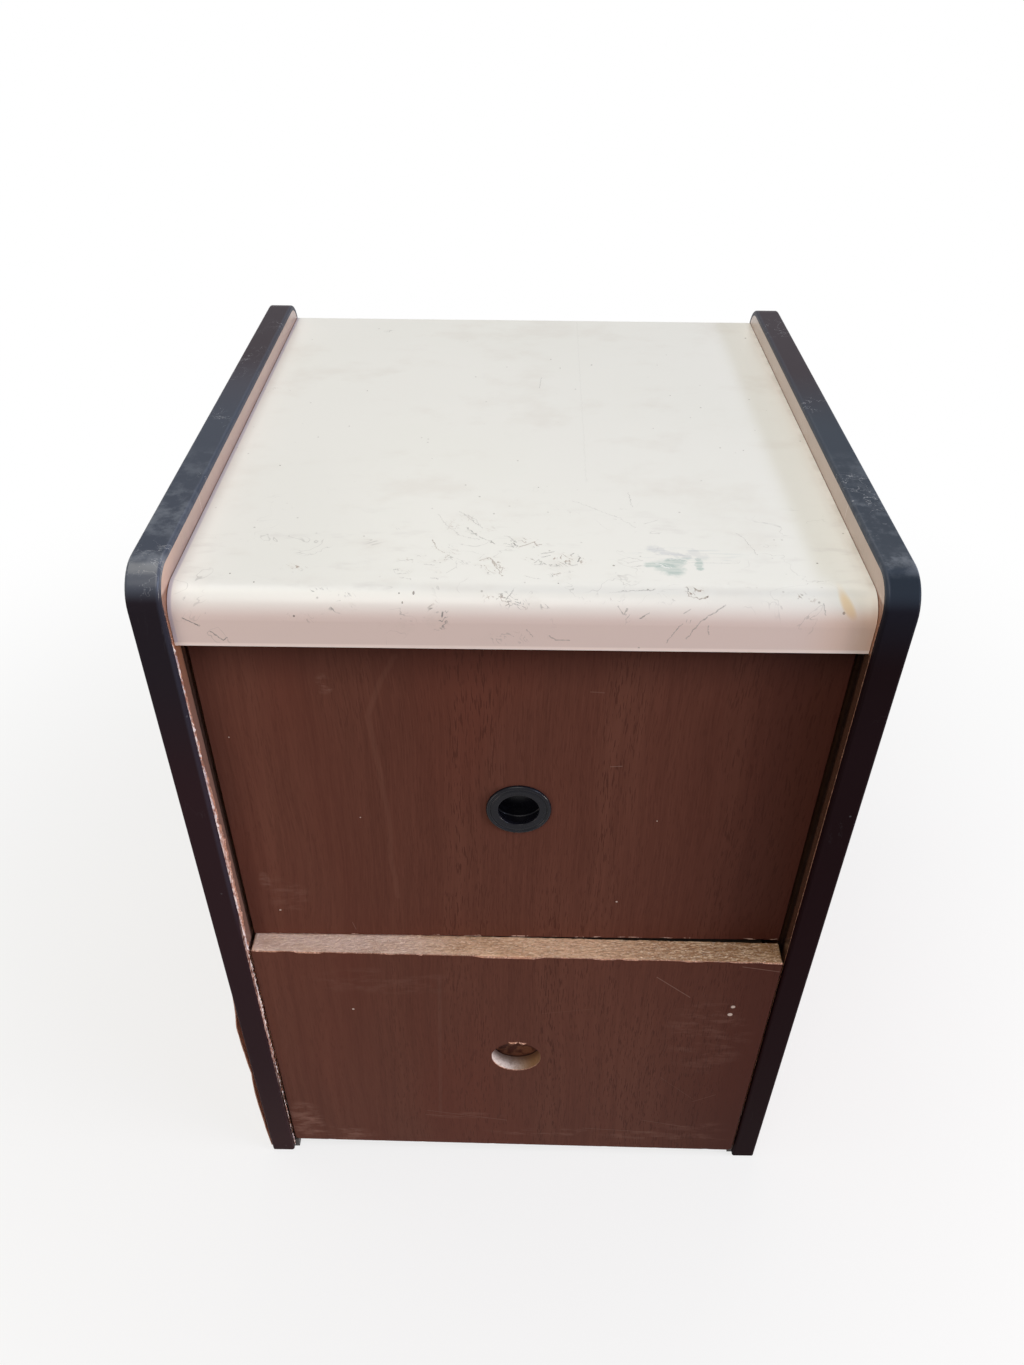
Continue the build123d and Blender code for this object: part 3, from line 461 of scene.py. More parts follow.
def worktop_sheet(colours):
    """Cream post-formed laminate with dirt, scuffs, scratches and stains, a painted highlight on the
    roll, painted warm light on the upright front and painted shade at its right end.
    """
    cream = colours.worktop
    f = Finish("Cream worktop laminate", {"IOR": 1.48})
    flat = f.z.step(0.5925, 0.5940)
    upright = 1 - flat
    cloud = f.noise(7, 4, 1.3)
    patch = f.noise((16, 22, 16), 5, 8.1, 0.6)
    wisp = f.noise((34, 90, 34), 4, 3.9, 0.6)
    yellowed = tinted(cream, 0.975, (-0.004, 0.002, -0.012))
    f.tone = f.blend(cloud.step(0.35, 0.7) * 0.5, cream, yellowed)
    f.lay(patch.step(0.5, 0.72) * 0.35, linear(222, 216, 208))
    nearer = f.y.step(-0.05, -0.17)
    f.lay(wisp.step(0.55, 0.75) * nearer * 0.35, linear(212, 208, 204))
    # Painted highlight along the roll, then painted warm light that makes the upright front pinker
    f.lay(f.z.step(0.5935, 0.5915) * 0.7, linear(248, 246, 238))
    f.lay(f.z.step(0.5925, 0.578), linear(237, 217, 209))
    # Fine dark specks
    speck = f.cells(210, 3.7)
    chosen = f.cells(210, 3.7, "Color").axis("X")
    specks = speck.step(0.2, 0.08) * chosen.step(0.955, 0.99)
    dots = f.dots(f.x, f.y, TOP_DOTS).above(f.dots(f.x, f.z, DROP_DOTS) * upright)
    f.lay((specks * 0.45).above(dots * 0.75), linear(104, 90, 80))
    # Short curved scuffs, thick in some places, and loose scratches
    places = f.places(f.x, f.y, TOP_SCUFFS) * f.z.step(0.588, 0.591)
    places = places.above(f.places(f.x, f.z, DROP_SCUFFS) * upright)
    slanted = f.point(f.x - f.y, f.x + f.y, f.z)
    curl = f.noise((38, 75, 90), 3, 5.5, 0.55, 0.4, slanted)
    curl = curl.math("PINGPONG", curl, 0.05)
    broken = f.noise(120, 3, 7.7, 0.6).step(0.50, 0.62)
    scuff = curl.step(0.016, 0.005) * broken * places
    haze = f.noise((90, 140, 90), 4, 6.3, 0.7).step(0.45, 0.75) * places
    f.lay(haze * 0.22, linear(200, 190, 176))
    browned = f.noise(60, 2, 1.9).step(0.45, 0.6)
    hue = f.blend(browned, linear(112, 108, 106), linear(132, 98, 72))
    f.lay(scuff * 0.95, hue)
    loose = abs(f.noise((30, 42, 30), 3, 2.5, 0.55, 0.9) - 0.5).step(0.008, 0.002)
    loose = loose * f.noise((22, 26, 22), 3, 2.2, 0.6).step(0.52, 0.66) * nearer
    grit = f.noise(700, 2, 3.3)
    uneven = grit.step(0.3, 0.6) * 0.5 + 0.5
    shake = (f.noise(420, 2, 6.1, 0.6) - 0.5) * 0.003
    x, y = f.x + shake, f.y + shake
    scratches = f.strokes(x, y, TOP_SCRATCHES) * flat
    scratches = scratches.above(f.strokes(x, f.z, DROP_SCRATCHES) * upright)
    f.lay((scratches * uneven * 1.3).above(loose * 0.3), linear(108, 100, 96))
    f.lay(f.strokes(x, y, BROWN_SCRATCHES) * uneven, linear(118, 84, 56))
    # Blue-green smear with streaks, and an orange stain by the right end of the roll
    sway = (f.noise(260, 3, 4.7, 0.6) - 0.5) * 0.007
    streaks = f.noise((50, 520, 50), 3, 9.4, 0.65)
    smear = f.strokes(f.x + sway, f.y + sway, SMEAR_STROKES)
    smear = smear * (streaks.step(0.36, 0.6) * 0.45 + 0.55)
    trail = f.spot(f.x, f.y, (0.096, -0.167), (0.040, 0.012), 0.9) * streaks.step(0.52, 0.66)
    f.lay(trail * 0.3, linear(186, 196, 198))
    hue = f.blend(f.y.step(-0.172, -0.166), linear(154, 178, 172), linear(176, 180, 188))
    f.lay(smear * 0.8, hue)
    bared = f.strokes(x, y, SMEAR_GAPS) * flat
    f.lay(bared * 0.8, linear(244, 244, 242))
    slant = 0.55
    middle = (0.1794, 0.5885)
    across = f.x + f.z * slant
    stain = f.spot(across, f.z, (middle[0] + middle[1] * slant, middle[1]), (0.0042, 0.0075), 0.9)
    f.lay(stain * f.y.step(-0.19, -0.205) * 0.55, linear(232, 190, 108))
    # Lilac line along the left edge, a darker mottled strip along the right edge, painted shade at
    # the right end of the upright front, and a pale lower edge
    line = f.x.step(-0.1930, -0.1942)
    f.lay(line * 0.65, linear(190, 182, 200))
    right_edge_mottle = f.x.step(0.1905, 0.1945) * f.noise((30, 60, 30), 3, 4.4).step(0.3, 0.7)
    f.lay(right_edge_mottle * 0.3, linear(170, 158, 140))
    # Painted shade of the right side board on the upright front's right end
    right_end_shade = f.x.step(0.15, 0.19) * f.z.step(0.5905, 0.58)
    f.lay(right_end_shade * 0.6, linear(236, 200, 176))
    f.lay(f.z.step(0.5628, 0.5616), linear(255, 238, 230))
    gloss = f.noise(12, 4, 4.1)
    roughness = 0.24 + gloss * 0.12 + scuff * 0.2 + haze * 0.2
    relief = f.noise(900, 2, 0.5)
    return f.finish(roughness, relief, 0.00012, 0.25)


# Pale marks on the drawer fronts in millimetres: x, z, reach across, reach up, strength
FRONT_HAZE = (
    (-118, 523, 7, 9, 0.7), (-178, 344, 5, 12, 0.4), (-163, 330, 18, 24, 0.25),
    (-180, 45, 18, 36, 0.9), (-150, 24, 36, 14, 0.7), (130, 34, 70, 10, 0.35),
    (30, 36, 60, 8, 0.4), (150, 52, 44, 12, 0.2), (-40, 60, 40, 7, 0.3), (-100, 250, 70, 20, 0.2),
    (150, 190, 40, 60, 0.25),
)
FRONT_SCRATCHES = (
    (0.6, 0.45, (58, 459), (65, 459.5)), (0.6, 0.25, (42, 520), (50, 519.5)),
    (0.5, 0.6, (104, 264), (131, 240)), (0.5, 0.5, (165, 279), (193, 274)),
    (0.7, 0.25, (-74, 67), (-6, 54)), (2.2, 0.07, (-57, 254), (-63, 63)),
    (0.4, 0.3, (-76, 60), (-30, 57)), (0.4, 0.3, (110, 60), (150, 50)),
    (0.5, 0.3, (60, 44), (120, 40)), (0.4, 0.25, (150, 92), (168, 104)),
    (0.4, 0.4, (-120, 300), (-118, 292)), (0.4, 0.12, (20, 214), (60, 222)),
    (0.4, 0.16, (120, 128), (150, 96)),
)
FRONT_DOTS = (
    (71, 327, 0.8), (-171, 313, 0.9), (-125, 214, 1.1), (165, 229, 1.9), (164, 219, 2.1),
    (-105, 410, 0.5), (92, 410, 0.5), (-181, 480, 0.5),
)
# Pale wavy line of the printed grain on the upper front: x, z
GRAIN_LINE = ((-74, 545), (-83, 527), (-92, 500), (-89, 462), (-87, 422), (-88, 373), (-84, 330))


def front_wear_and_shade(f, roughness):
    """Hazy smears, scratches and knocks on the fronts, with painted shade towards the right side and
    under the worktop's edge.
    """
    sway = (f.noise(12, 2, 3.3) - 0.5) * 0.008
    x, z = f.x + sway, f.z + sway
    f.lay(f.strokes(x, z, [(2.6, 0.1, *GRAIN_LINE)]), linear(150, 108, 92))
    # Painted shade, darker towards the right side board
    f.lay(f.x.step(0.06, 0.215) * 0.75, linear(66, 30, 23))
    cloth = f.noise((40, 40, 120), 4, 8.6, 0.65)
    haze = f.places(x, z, FRONT_HAZE) * cloth.step(0.44, 0.68)
    f.lay(haze * 0.7, linear(160, 122, 110))
    # Painted shadow under the worktop's edge, with a near-black painted shadow line right below it
    f.lay(f.z.step(0.515, 0.555) * 0.55, linear(66, 40, 35))
    f.lay(f.z.step(0.5540, 0.5562) * 0.85, linear(16, 8, 8))
    # Pale chips along the upper front's lower edge
    edge = f.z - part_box("upper_front_laminate")[0].z
    chipped = edge.step(1.7 * MM, 0.9 * MM) * edge.step(-1.0 * MM, 0.0)
    chipped = chipped * f.noise((90, 90, 300), 3, 4.1, 0.7).step(0.57, 0.61)
    f.lay(chipped * 0.8, linear(220, 186, 170))
    scratches = f.strokes(f.x, f.z, FRONT_SCRATCHES)
    f.lay(scratches * 0.8, linear(160, 128, 116))
    knocks = f.dots(f.x, f.z, FRONT_DOTS)
    f.lay(knocks * 0.9, linear(226, 208, 196))
    return roughness + haze * 0.15


def side_light_and_shade(f, roughness):
    """The side sheets' inner faces: painted reflection of the worktop above it, painted light in the
    left recess and painted shade in the right one beside the fronts.
    """
    inner = abs(f.x).step(0.206, 0.200)
    # Painted reflection of the cream worktop and painted light above it, greyer at the right
    painted_top_reflection = f.z.step(0.5930, 0.5955) * inner
    f.lay(painted_top_reflection * 0.75, linear(216, 180, 161))
    f.lay(painted_top_reflection * f.x.step(0.1, 0.15) * 0.5, linear(200, 190, 182))
    # Painted shade in the right recess, near black by the front
    recess = f.z.step(0.5605, 0.5590) * f.y.step(-0.19, -0.205) * inner
    right = recess * f.x.step(0.1, 0.15)
    f.lay(right, linear(80, 56, 42))
    f.lay(right * f.y.step(-0.2092, -0.2068) * 0.95, linear(8, 4, 6))
    # Painted light in the left recess, with a near-black painted shadow by the front
    left = recess * f.x.step(-0.1, -0.15) * f.z.step(0.575, 0.49)
    f.lay(left * 0.9, linear(137, 106, 95))
    shadow = recess * f.x.step(-0.1, -0.15) * (f.y + f.z * 0.008).step(-0.2013, -0.1997)
    f.lay(shadow * 0.95, linear(8, 4, 6))
    return roughness


def box_gap_shade(f, roughness):
    """Painted shade: the outer face and top edge of a box front are dark brown where they show in
    the gap between the fronts.
    """
    gap_shade = f.y.step(-0.1925, -0.1935) * f.z.step(0.26, 0.27).below(f.z.step(0.29, 0.28))
    f.lay(gap_shade * 0.95, linear(26, 16, 14))
    return roughness


def wood_sheet(name, base, across, seed, gloss, dull, wear, calm=None):
    """Printed upright wood grain under a satin surface, with fainter pores on a calm side."""
    f = Finish(name, {"IOR": 1.47, "Specular IOR Level": gloss})
    sway = (f.noise((3.5, 3.5, 2.2), 2, seed) - 0.5) * 0.05
    side = getattr(f, across) + sway
    lane = f.point(side, 0.0, f.z)
    broad = f.noise((26, 0, 2.2), 3, seed + 1, place=lane)
    streak = f.noise((190, 0, 6), 3, seed + 2, 0.6, place=lane)
    fibre = f.noise((800, 0, 30), 2, seed + 3, place=lane)
    pore = f.noise((1150, 0, 100), 1, seed + 4, place=lane).step(0.55, 0.67)
    pores = pore * (0.4 + broad.step(0.42, 0.56) * 0.6)
    if calm:
        pores = pores * (0.35 + f.x.step(*calm) * 0.65)
    lighter = tinted(base, 1.10, (0.004, 0.006, 0.004))
    f.tone = f.blend(broad.step(0.3, 0.7), tinted(base, 0.93), lighter)
    f.lay(streak.step(0.35, 0.7) * 0.5, tinted(base, 0.74))
    f.lay(fibre.step(0.4, 0.75) * 0.3, tinted(base, 1.3, (0.004, 0.004, 0.004)))
    redder = f.noise((9, 9, 3), 2, seed + 5).step(0.48, 0.68)
    f.lay(redder * 0.45, tinted(base, 1.02, (0.010, -0.006, -0.005)))
    f.lay(pores * 0.65, tinted(base, 0.5))
    roughness = dull + fibre * 0.10
    relief = (1 - pores) + fibre * 0.3
    # wear lays the sheet's marks together with its painted light and shade
    return f.finish(wear(f, roughness), relief, 0.0001, 0.35)


def plain(name, base, constants, scale, contrast, roughness):
    """A plain moulded or coated finish with faint mottling, uneven gloss and fine relief."""
    f = Finish(name, constants)
    cloud = f.noise(scale, 4, 1.7)
    fine = f.noise(scale * 14, 3, 3.1)
    f.tone = f.blend(cloud.step(0.3, 0.7), tinted(base, 1 - contrast), tinted(base, 1 + contrast))
    return f.finish(roughness - 0.06 + fine * 0.12, fine, 0.0001, 0.3)


def chipboard(colours):
    """Sawn chipboard of pressed flakes, greyer at the left, more golden at the right."""
    base = colours.chipboard
    f = Finish("Sawn chipboard", {"IOR": 1.4, "Specular IOR Level": 0.2, "Roughness": 0.5})
    flake = f.cells((260, 1100, 1100), 2.0, "Color").axis("X")
    small = f.cells((700, 1700, 1700), 5.0, "Color").axis("X")
    gap = f.cells((260, 1100, 1100), 2.0)
    worn = f.noise((16, 40, 40), 4, 7.0, 0.6)
    left = f.x.step(-0.02, -0.11)
    right = f.x.step(0.03, 0.17)
    pale, golden = tinted(base, 1.16, (0.0, 0.01, 0.03)), tinted(base, 0.60, (0.0, -0.02, -0.03))
    f.tone = f.blend(right, pale, golden)
    f.lay(left * 0.8, linear(232, 208, 198))
    f.lay(worn.step(0.5, 0.7) * 0.55, tinted(base, 0.66, (0.03, -0.02, -0.03)))
    lively = 1 - left * 0.55
    lively = lively * (0.6 + right * 0.4)
    bright = flake.step(0.55, 0.95) * (1 - left * 0.55)
    dark = flake.step(0.4, 0.0) * lively
    f.lay(bright * 0.4, linear(250, 222, 184))
    f.lay(dark * 0.5, linear(128, 88, 58))
    f.lay(small.step(0.72, 1.0) * 0.5, linear(255, 236, 212))
    f.lay(small.step(0.22, 0.0) * 0.45 * lively, linear(112, 74, 52))
    f.lay(gap.step(0.5, 0.85) * 0.4 * lively, linear(110, 74, 50))
    torn_zone(f)
    bare_hole(f)
    return f.finish(None, flake + small * 0.5, 0.0003, 0.6)


def torn_zone(f):
    """Board laid bare along the left side's band: white at the band, brown and pink further in."""
    zone = f.x.step(-0.1945, -0.1955) * f.y.step(-0.195, -0.2)
    speck = f.noise((900, 900, 420), 3, 2.6, 0.7)
    patch = f.noise((260, 260, 110), 3, 5.8, 0.6)
    bare = f.blend(speck.step(0.42, 0.6), linear(196, 146, 126), linear(255, 232, 218))
    bare = f.blend(patch.step(0.46, 0.58) * 0.6, bare, linear(204, 142, 118))
    white = f.y.step(-0.2120, -0.2140) * speck.step(0.34, 0.5)
    f.lay(zone, f.blend(white, bare, linear(252, 240, 236)))


def bare_hole(f):
    """The lower front's empty hole: painted light on the left of its wall, painted shade at the
    right and deeper in, and a dark painted-shade end, darkest at its rim.
    """
    centre = BARE_HOLE["pos_m"]
    radius = BARE_HOLE["dims"]["r_mm"] * MM
    inside = f.spot(f.x, f.z, (centre[0], centre[2]), (radius * 1.04,) * 2, 0.02)
    turn = math.asin(-BARE_HOLE["axis"][0])
    depth = f.y + f.x * math.tan(turn) - centre[1]
    mottle = f.noise(500, 3, 8.2, 0.6)
    # Painted light on the left of the wall, painted shade at its right and deeper in
    wall = f.blend(f.x.step(0.016, -0.010), linear(158, 122, 88), linear(244, 230, 222))
    wall = f.blend(mottle.step(0.45, 0.65) * 0.4, wall, linear(150, 116, 92))
    wall = f.blend(depth.step(0.003, 0.012) * 0.8, wall, linear(100, 68, 50))
    # Painted shade on the hole's end, darkest at its rim
    blotch = f.noise(160, 3, 6.4).step(0.42, 0.62)
    end = f.blend(blotch, linear(80, 44, 34), linear(124, 82, 62))
    rim = f.spot(f.x, f.z, (centre[0], centre[2]), (radius,) * 2, 0.14)
    end = f.blend(rim, linear(54, 28, 22), end)
    f.lay(inside, f.blend(depth.step(0.0120, 0.0127), wall, end))


def torn_paper(colours):
    """Broken edge of the laminate: pale fibres with dark pits."""
    base = colours.raw_paper
    f = Finish("Torn laminate", {"IOR": 1.4, "Specular IOR Level": 0.3, "Roughness": 0.5})
    grit = f.noise(900, 3, 1.7, 0.7)
    patch = f.noise(160, 3, 3.2)
    f.tone = f.blend(grit.step(0.46, 0.62), tinted(base, 0.42, (0.02, 0.0, 0.0)), tinted(base, 1.2))
    f.lay(patch.step(0.45, 0.62) * 0.6, linear(196, 140, 112))
    return f.finish(None, grit, 0.0002, 0.4)


def torn_fibre(colours):
    """White fibres and glue, with brown patches."""
    f = Finish("Torn fibre", {"IOR": 1.4, "Specular IOR Level": 0.3, "Roughness": 0.5})
    patch = f.noise((300, 300, 150), 3, 4.2, 0.65)
    f.tone = f.blend(patch.step(0.46, 0.60), colours.fibre, linear(168, 116, 98))
    glue = f.noise((90, 90, 60), 2, 9.2).step(0.5, 0.62)
    f.lay(glue * 0.6, linear(210, 200, 206))
    return f.finish(None, patch, 0.0002, 0.4)


# Handled places of the bands in millimetres: y, z, reach along, reach up, strength
BAND_SMUDGES = ((-105, 610, 45, 9, 0.4), (-150, 608, 40, 9, 0.75), (-195, 606, 14, 8, 1.0))


def band_plastic(colours):
    """Black edge band: painted grey and bluish sheen with handled smudges on top and at the front
    corners, glossy there and dull below, painted lighter on the left band and darker on the right.
    """
    base = colours.band
    f = Finish("Black edge band", {
        "IOR": 1.45, "Specular IOR Level": 0.02, "Coat Roughness": 0.24, "Coat IOR": 1.5,
    })
    cloud = f.noise(14, 4, 1.1)
    smudge = f.noise(55, 5, 6.1, 0.7)
    high = f.z.step(0.592, 0.604)
    front = f.y.step(0.08, -0.04)
    corner = f.y.step(-0.190, -0.204) * high
    left = f.x.step(0.1, -0.1)
    inner = f.x.step(-0.1985, -0.1970).below(left).above(f.x.step(0.1985, 0.1970).below(1 - left))
    lip = inner * high.above(f.z.step(0.30, 0.36) * left * 0.5)
    back_sheen, front_sheen = linear(55, 47, 54), linear(55, 63, 75)
    f.tone = f.blend(cloud.step(0.35, 0.7) * 0.5, base, tinted(base, 1.35))
    # Painted light and shade: the left band lighter, the right band darker lower down, and painted
    # bluish sheen higher up on both
    f.lay(left * 0.8, linear(54, 37, 42))
    f.lay((1 - left) * f.z.step(0.58, 0.30) * 0.9, linear(29, 11, 15))
    f.lay(left * f.z.step(0.44, 0.56) * 0.8, linear(38, 36, 43))
    f.lay((1 - left) * f.z.step(0.55, 0.595) * 0.6, linear(34, 38, 48))
    # Painted sheen on the top faces, purplish at the back and bluish to the front, lighter towards
    # the left band's front and darker at the right band's front corner
    f.lay(high, f.blend(front, back_sheen, front_sheen))
    f.lay(high * left * f.y.step(0.10, 0.03) * 0.35, linear(84, 88, 102))
    f.lay((1 - left) * f.y.step(-0.2035, -0.2075) * high * 0.6, linear(26, 34, 44))
    handled = f.places(f.y, f.z, BAND_SMUDGES) * smudge.step(0.42, 0.66)
    f.lay(handled * 0.5, linear(140, 146, 156))
    # Painted bluish sheen on the inner lip
    f.lay(lip * 0.35, linear(72, 80, 98))
    # Pale worn rim of the left band beside the lower front
    rim = inner * left * f.y.step(-0.2192, -0.2184) * f.z.step(0.33, 0.27)
    grit = f.noise((500, 500, 160), 3, 7.3, 0.65)
    rim = rim * grit.step(0.36, 0.5) * (f.z.step(0.02, 0.18) * 0.7 + 0.3)
    f.lay(rim, f.blend(grit.step(0.48, 0.6), linear(160, 112, 94), linear(226, 200, 188)))
    # Painted shade in the gap beside the lower front, a dusty foot below it, then scratches and
    # specks
    gap = inner * left * f.y.step(-0.2190, -0.2184) * f.z.step(0.16, 0.08)
    f.lay(gap * 0.95, linear(6, 3, 4))
    low = f.z.step(0.16, 0.02) * left
    f.lay(low * cloud * 0.5, linear(84, 62, 62))
    scratch = abs(f.noise((60, 60, 14), 4, 2.9, 0.6, 0.5) - 0.5).step(0.006, 0.001)
    worn = f.noise(20, 3, 9.3).step(0.52, 0.66)
    marks = scratch * worn * (0.05 + high * 0.95)
    speck = f.cells(160, 1.4).step(0.16, 0.06)
    specks = speck * f.cells(160, 1.4, "Color").axis("X").step(0.93, 0.97)
    marks = marks.above(specks * (0.25 + high * 0.75))
    f.lay(marks * 0.6, linear(176, 178, 184))
    roughness = 0.40 + cloud * 0.1
    coat = high * 0.12 + corner * (left * 0.66 + 0.04) + lip * 0.1
    return f.finish(roughness, cloud * 0.4 - marks, 0.0002, 0.25, coat)


made_finishes = {}

SPECIAL_FINISHES = {
    "chipboard": chipboard, "top_laminate": worktop_sheet, "edge_band": band_plastic,
    "torn_sheet": torn_paper, "torn_rim": torn_fibre,
}
# Wood grain: name, colour setting, axis across the grain, seed, gloss, roughness, wear and painted
# light and shade, calm side
WOOD_FINISHES = {
    "brown_laminate": ("Brown side laminate", "side", "y", 21.0, 0.9, 0.2, side_light_and_shade),
    "front_laminate": (
        "Brown front laminate", "front", "x", 4.0, 0.04, 0.45, front_wear_and_shade, (-0.15, -0.03),
    ),
    "box_board": ("Pale drawer foil", "box", "y", 33.0, 0.4, 0.4, box_gap_shade),
}
# Plain: name, colour setting, constants, mottling in cycles per metre, contrast, roughness
PLAIN_FINISHES = {
    "sheet_back": ("Back of the side sheet", "sheet_back", {"IOR": 1.4}, 150, 0.2, 0.7),
    "cup_pull": (
        "Cup pull plastic", "pull", {"IOR": 1.45, "Specular IOR Level": 0.2}, 60, 0.1, 0.26,
    ),
    "glide": ("Glide plastic", "glide", {"IOR": 1.45}, 90, 0.12, 0.5),
    "hardboard": ("Hardboard", "hardboard", {"IOR": 1.4}, 120, 0.14, 0.6),
    "dowel": ("Beech dowel", "dowel", {"IOR": 1.4}, 300, 0.1, 0.6),
    "runner_steel": ("Stove enamel", "enamel", {"IOR": 1.5}, 50, 0.03, 0.35),
    "fastener_steel": ("Zinc plate", "zinc", {"Metallic": 1.0}, 200, 0.1, 0.38),
    "rail_steel": ("Steel strip", "rail", {"Metallic": 1.0}, 80, 0.06, 0.32),
    "nylon": ("Nylon", "nylon", {"IOR": 1.53}, 70, 0.03, 0.42),
}


def finish_for(slot, settings):
    """The finish of one material slot, made once."""
    colours = settings.colours
    if slot not in made_finishes:
        if slot in SPECIAL_FINISHES:
            made_finishes[slot] = SPECIAL_FINISHES[slot](colours)
        else:
            maker = wood_sheet if slot in WOOD_FINISHES else plain
            name, base, *rest = (WOOD_FINISHES | PLAIN_FINISHES)[slot]
            made_finishes[slot] = maker(name, getattr(colours, base), *rest)
    return made_finishes[slot]


def dress(names, settings):
    """Gives parts the finish of their own material slot."""
    for name in names:
        part = frame["nodes"][name]
        for place in part.material_slots:
            place.material = finish_for(place.material.name, settings)


def new_piece(name, work, body, finishes, nodes):
    """Makes a piece of a finished mesh, riding on a body in the place of its nodes."""
    bmesh.ops.recalc_face_normals(work, faces=work.faces)
    mesh = bpy.data.meshes.new(name)
    work.to_mesh(mesh)
    work.free()
    for finish in finishes:
        mesh.materials.append(finish)
    made = bpy.data.objects.new(name, mesh)
    bpy.context.scene.collection.objects.link(made)
    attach(made, body)
    if nodes:
        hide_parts(*nodes)
    return made


def welded(node):
    """A part's mesh, with the points that its faces share joined."""
    work = bmesh.new()
    work.from_mesh(frame["nodes"][node].data)
    bmesh.ops.remove_doubles(work, verts=work.verts, dist=WELD)
    return work


def sliced(work, place, way, clear=False):
    """Cuts a mesh along a plane, and clears what lies on the plane's far side if asked."""
    return bmesh.ops.bisect_plane(
        work, geom=work.verts[:] + work.edges[:] + work.faces[:], plane_co=place, plane_no=way,
        clear_outer=clear,
    )


def skin(work, rows):
    """Faces around rows of points, and one over each end."""
    for one, two in zip(rows, rows[1:]):
        for k in range(len(one)):
            j = (k + 1) % len(one)
            work.faces.new((one[k], one[j], two[j], two[k]))
    work.faces.new(rows[0])
    work.faces.new(rows[-1])


def flat_loops(node, way):
    """Rim and holes of the outermost flat face that a part turns that way, longest loop first."""
    work = welded(node)
    work.normal_update()
    work.faces.index_update()
    reach = max(vert.co.dot(way) for vert in work.verts)
    flat = {
        face.index for face in work.faces
        if face.normal.dot(way) > 0.999 and reach - face.verts[0].co.dot(way) < TOUCH
    }
    after = {}
    for face in work.faces:
        if face.index not in flat:
            continue
        for corner in face.loops:
            others = [f for f in corner.edge.link_faces if f != face]
            if not any(other.index in flat for other in others):
                after[corner.vert] = corner.link_loop_next.vert
    loops = []
    while after:
        here = next(iter(after))
        loop = []
        while here in after:
            loop.append(here.co.copy())
            here = after.pop(here)
        loops.append(loop)
    work.free()
    return sorted(loops, key=lambda loop: -sum((a - b).length for a, b in zip(loop, loop[1:])))


def divided(loop, spacing):
    """The same closed loop with points about the spacing apart."""
    points = []
    for start, end in zip(loop, loop[1:] + loop[:1]):
        count = max(1, round((end - start).length / spacing))
        points += [start.lerp(end, i / count) for i in range(count)]
    return points


def waver(along, pitch, seed, row):
    """Noise from about -1 to 1 along a line, with a pitch in millimetres."""
    return noise.noise((along / (pitch * MM), seed, row))


def chips(along, seed, size):
    """Depth of the small chips at a place along an edge."""
    broad = waver(along, 9, seed, 0.0)
    fine = waver(along, 1.7, seed, 5.0)
    return size * (max(0.0, 1.8 * broad - 0.2) * (0.8 + 0.6 * fine) + 0.35 * abs(fine))


def worn_loop(loop, number, tear, spacing):
    """Points along a loop and how far each is worn back, without idle ones on a straight edge."""
    points = divided(loop, spacing)
    moves = [tear(point, number) for point in points]
    worn = [move.length > 0 for move in moves]
    kept = [
        i for i, point in enumerate(points)
        if point in loop or worn[i - 1] or worn[i] or worn[(i + 1) % len(points)]
    ]
    return [points[i] for i in kept], [moves[i] for i in kept]


def torn_sheet(name, node, body, way, tear, wear, finishes, under=0.5):
    """A thin sheet like a flat part, worn back by tear(point, loop number), less on its back."""
    worn = [
        worn_loop(loop, number, tear, wear.point_spacing)
        for number, loop in enumerate(flat_loops(node, way))
    ]
    face = [[p + m for p, m in zip(*loop)] for loop in worn]
    back = [[p + m * under - way * SHEET for p, m in zip(*loop)] for loop in worn]
    work = bmesh.new()
    front_verts = [[work.verts.new(p) for p in loop] for loop in face]
    back_verts = [[work.verts.new(p) for p in loop] for loop in back]
    flat_front = [vert for loop in front_verts for vert in loop]
    flat_back = [vert for loop in back_verts for vert in loop]
    for corners in tessellate_polygon(face):
        for flat in (flat_front, flat_back):
            if len({flat[i] for i in corners}) == 3:
                work.faces.new([flat[i] for i in corners])
    for front, rear in zip(front_verts, back_verts):
        for i in range(len(front)):
            j = (i + 1) % len(front)
            edge = work.faces.new((front[i], front[j], rear[j], rear[i]))
            edge.material_index = 1
    bmesh.ops.holes_fill(work, edges=[edge for edge in work.edges if edge.is_boundary])
    return new_piece(name, work, body, finishes, [node])


class FrontFace:
    """Place of one drawer front's face: its lower left corner, and the ways along it and out."""

    def __init__(self, row):
        self.low, self.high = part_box(f"{row}_front_laminate")
        deep = self.high.y - self.low.y
        self.width = self.high.x - self.low.x
        turn = math.asin((deep - SHEET) / self.width)
        self.along = Vector((math.cos(turn), -math.sin(turn), 0.0))
        self.out = Vector((-math.sin(turn), -math.cos(turn), 0.0))
        self.corner = Vector((self.low.x, self.high.y - SHEET * math.cos(turn), self.low.z))
        self.height = self.high.z - self.low.z

    def run(self, point):
        return (point - self.corner).dot(self.along)


# Pieces torn out of the lower front's top edge: place from its left end and half width in
# millimetres, and share of the deepest
BITES = (
    (11, 10, 0.4), (42, 11, 0.6), (102, 4, 0.3), (124, 1.5, 0.3), (188, 26, 0.8), (206, 1.6, 0.9),
    (258, 9, 0.3), (277, 6, 0.3), (322, 9, 0.35), (356, 7, 0.3), (381, 9, 0.4),
)


def bite(along, wear):
    """Depth torn off the lower front's top edge at a place along it, in metres."""
    deepest = 0.0
    for place, reach, depth in BITES:
        off = abs(along / MM - place) / reach
        if off < 1.0:
            deepest = max(deepest, depth * min(1.0, 3.5 * (1.0 - off)))
    return deepest * wear.bite_depth


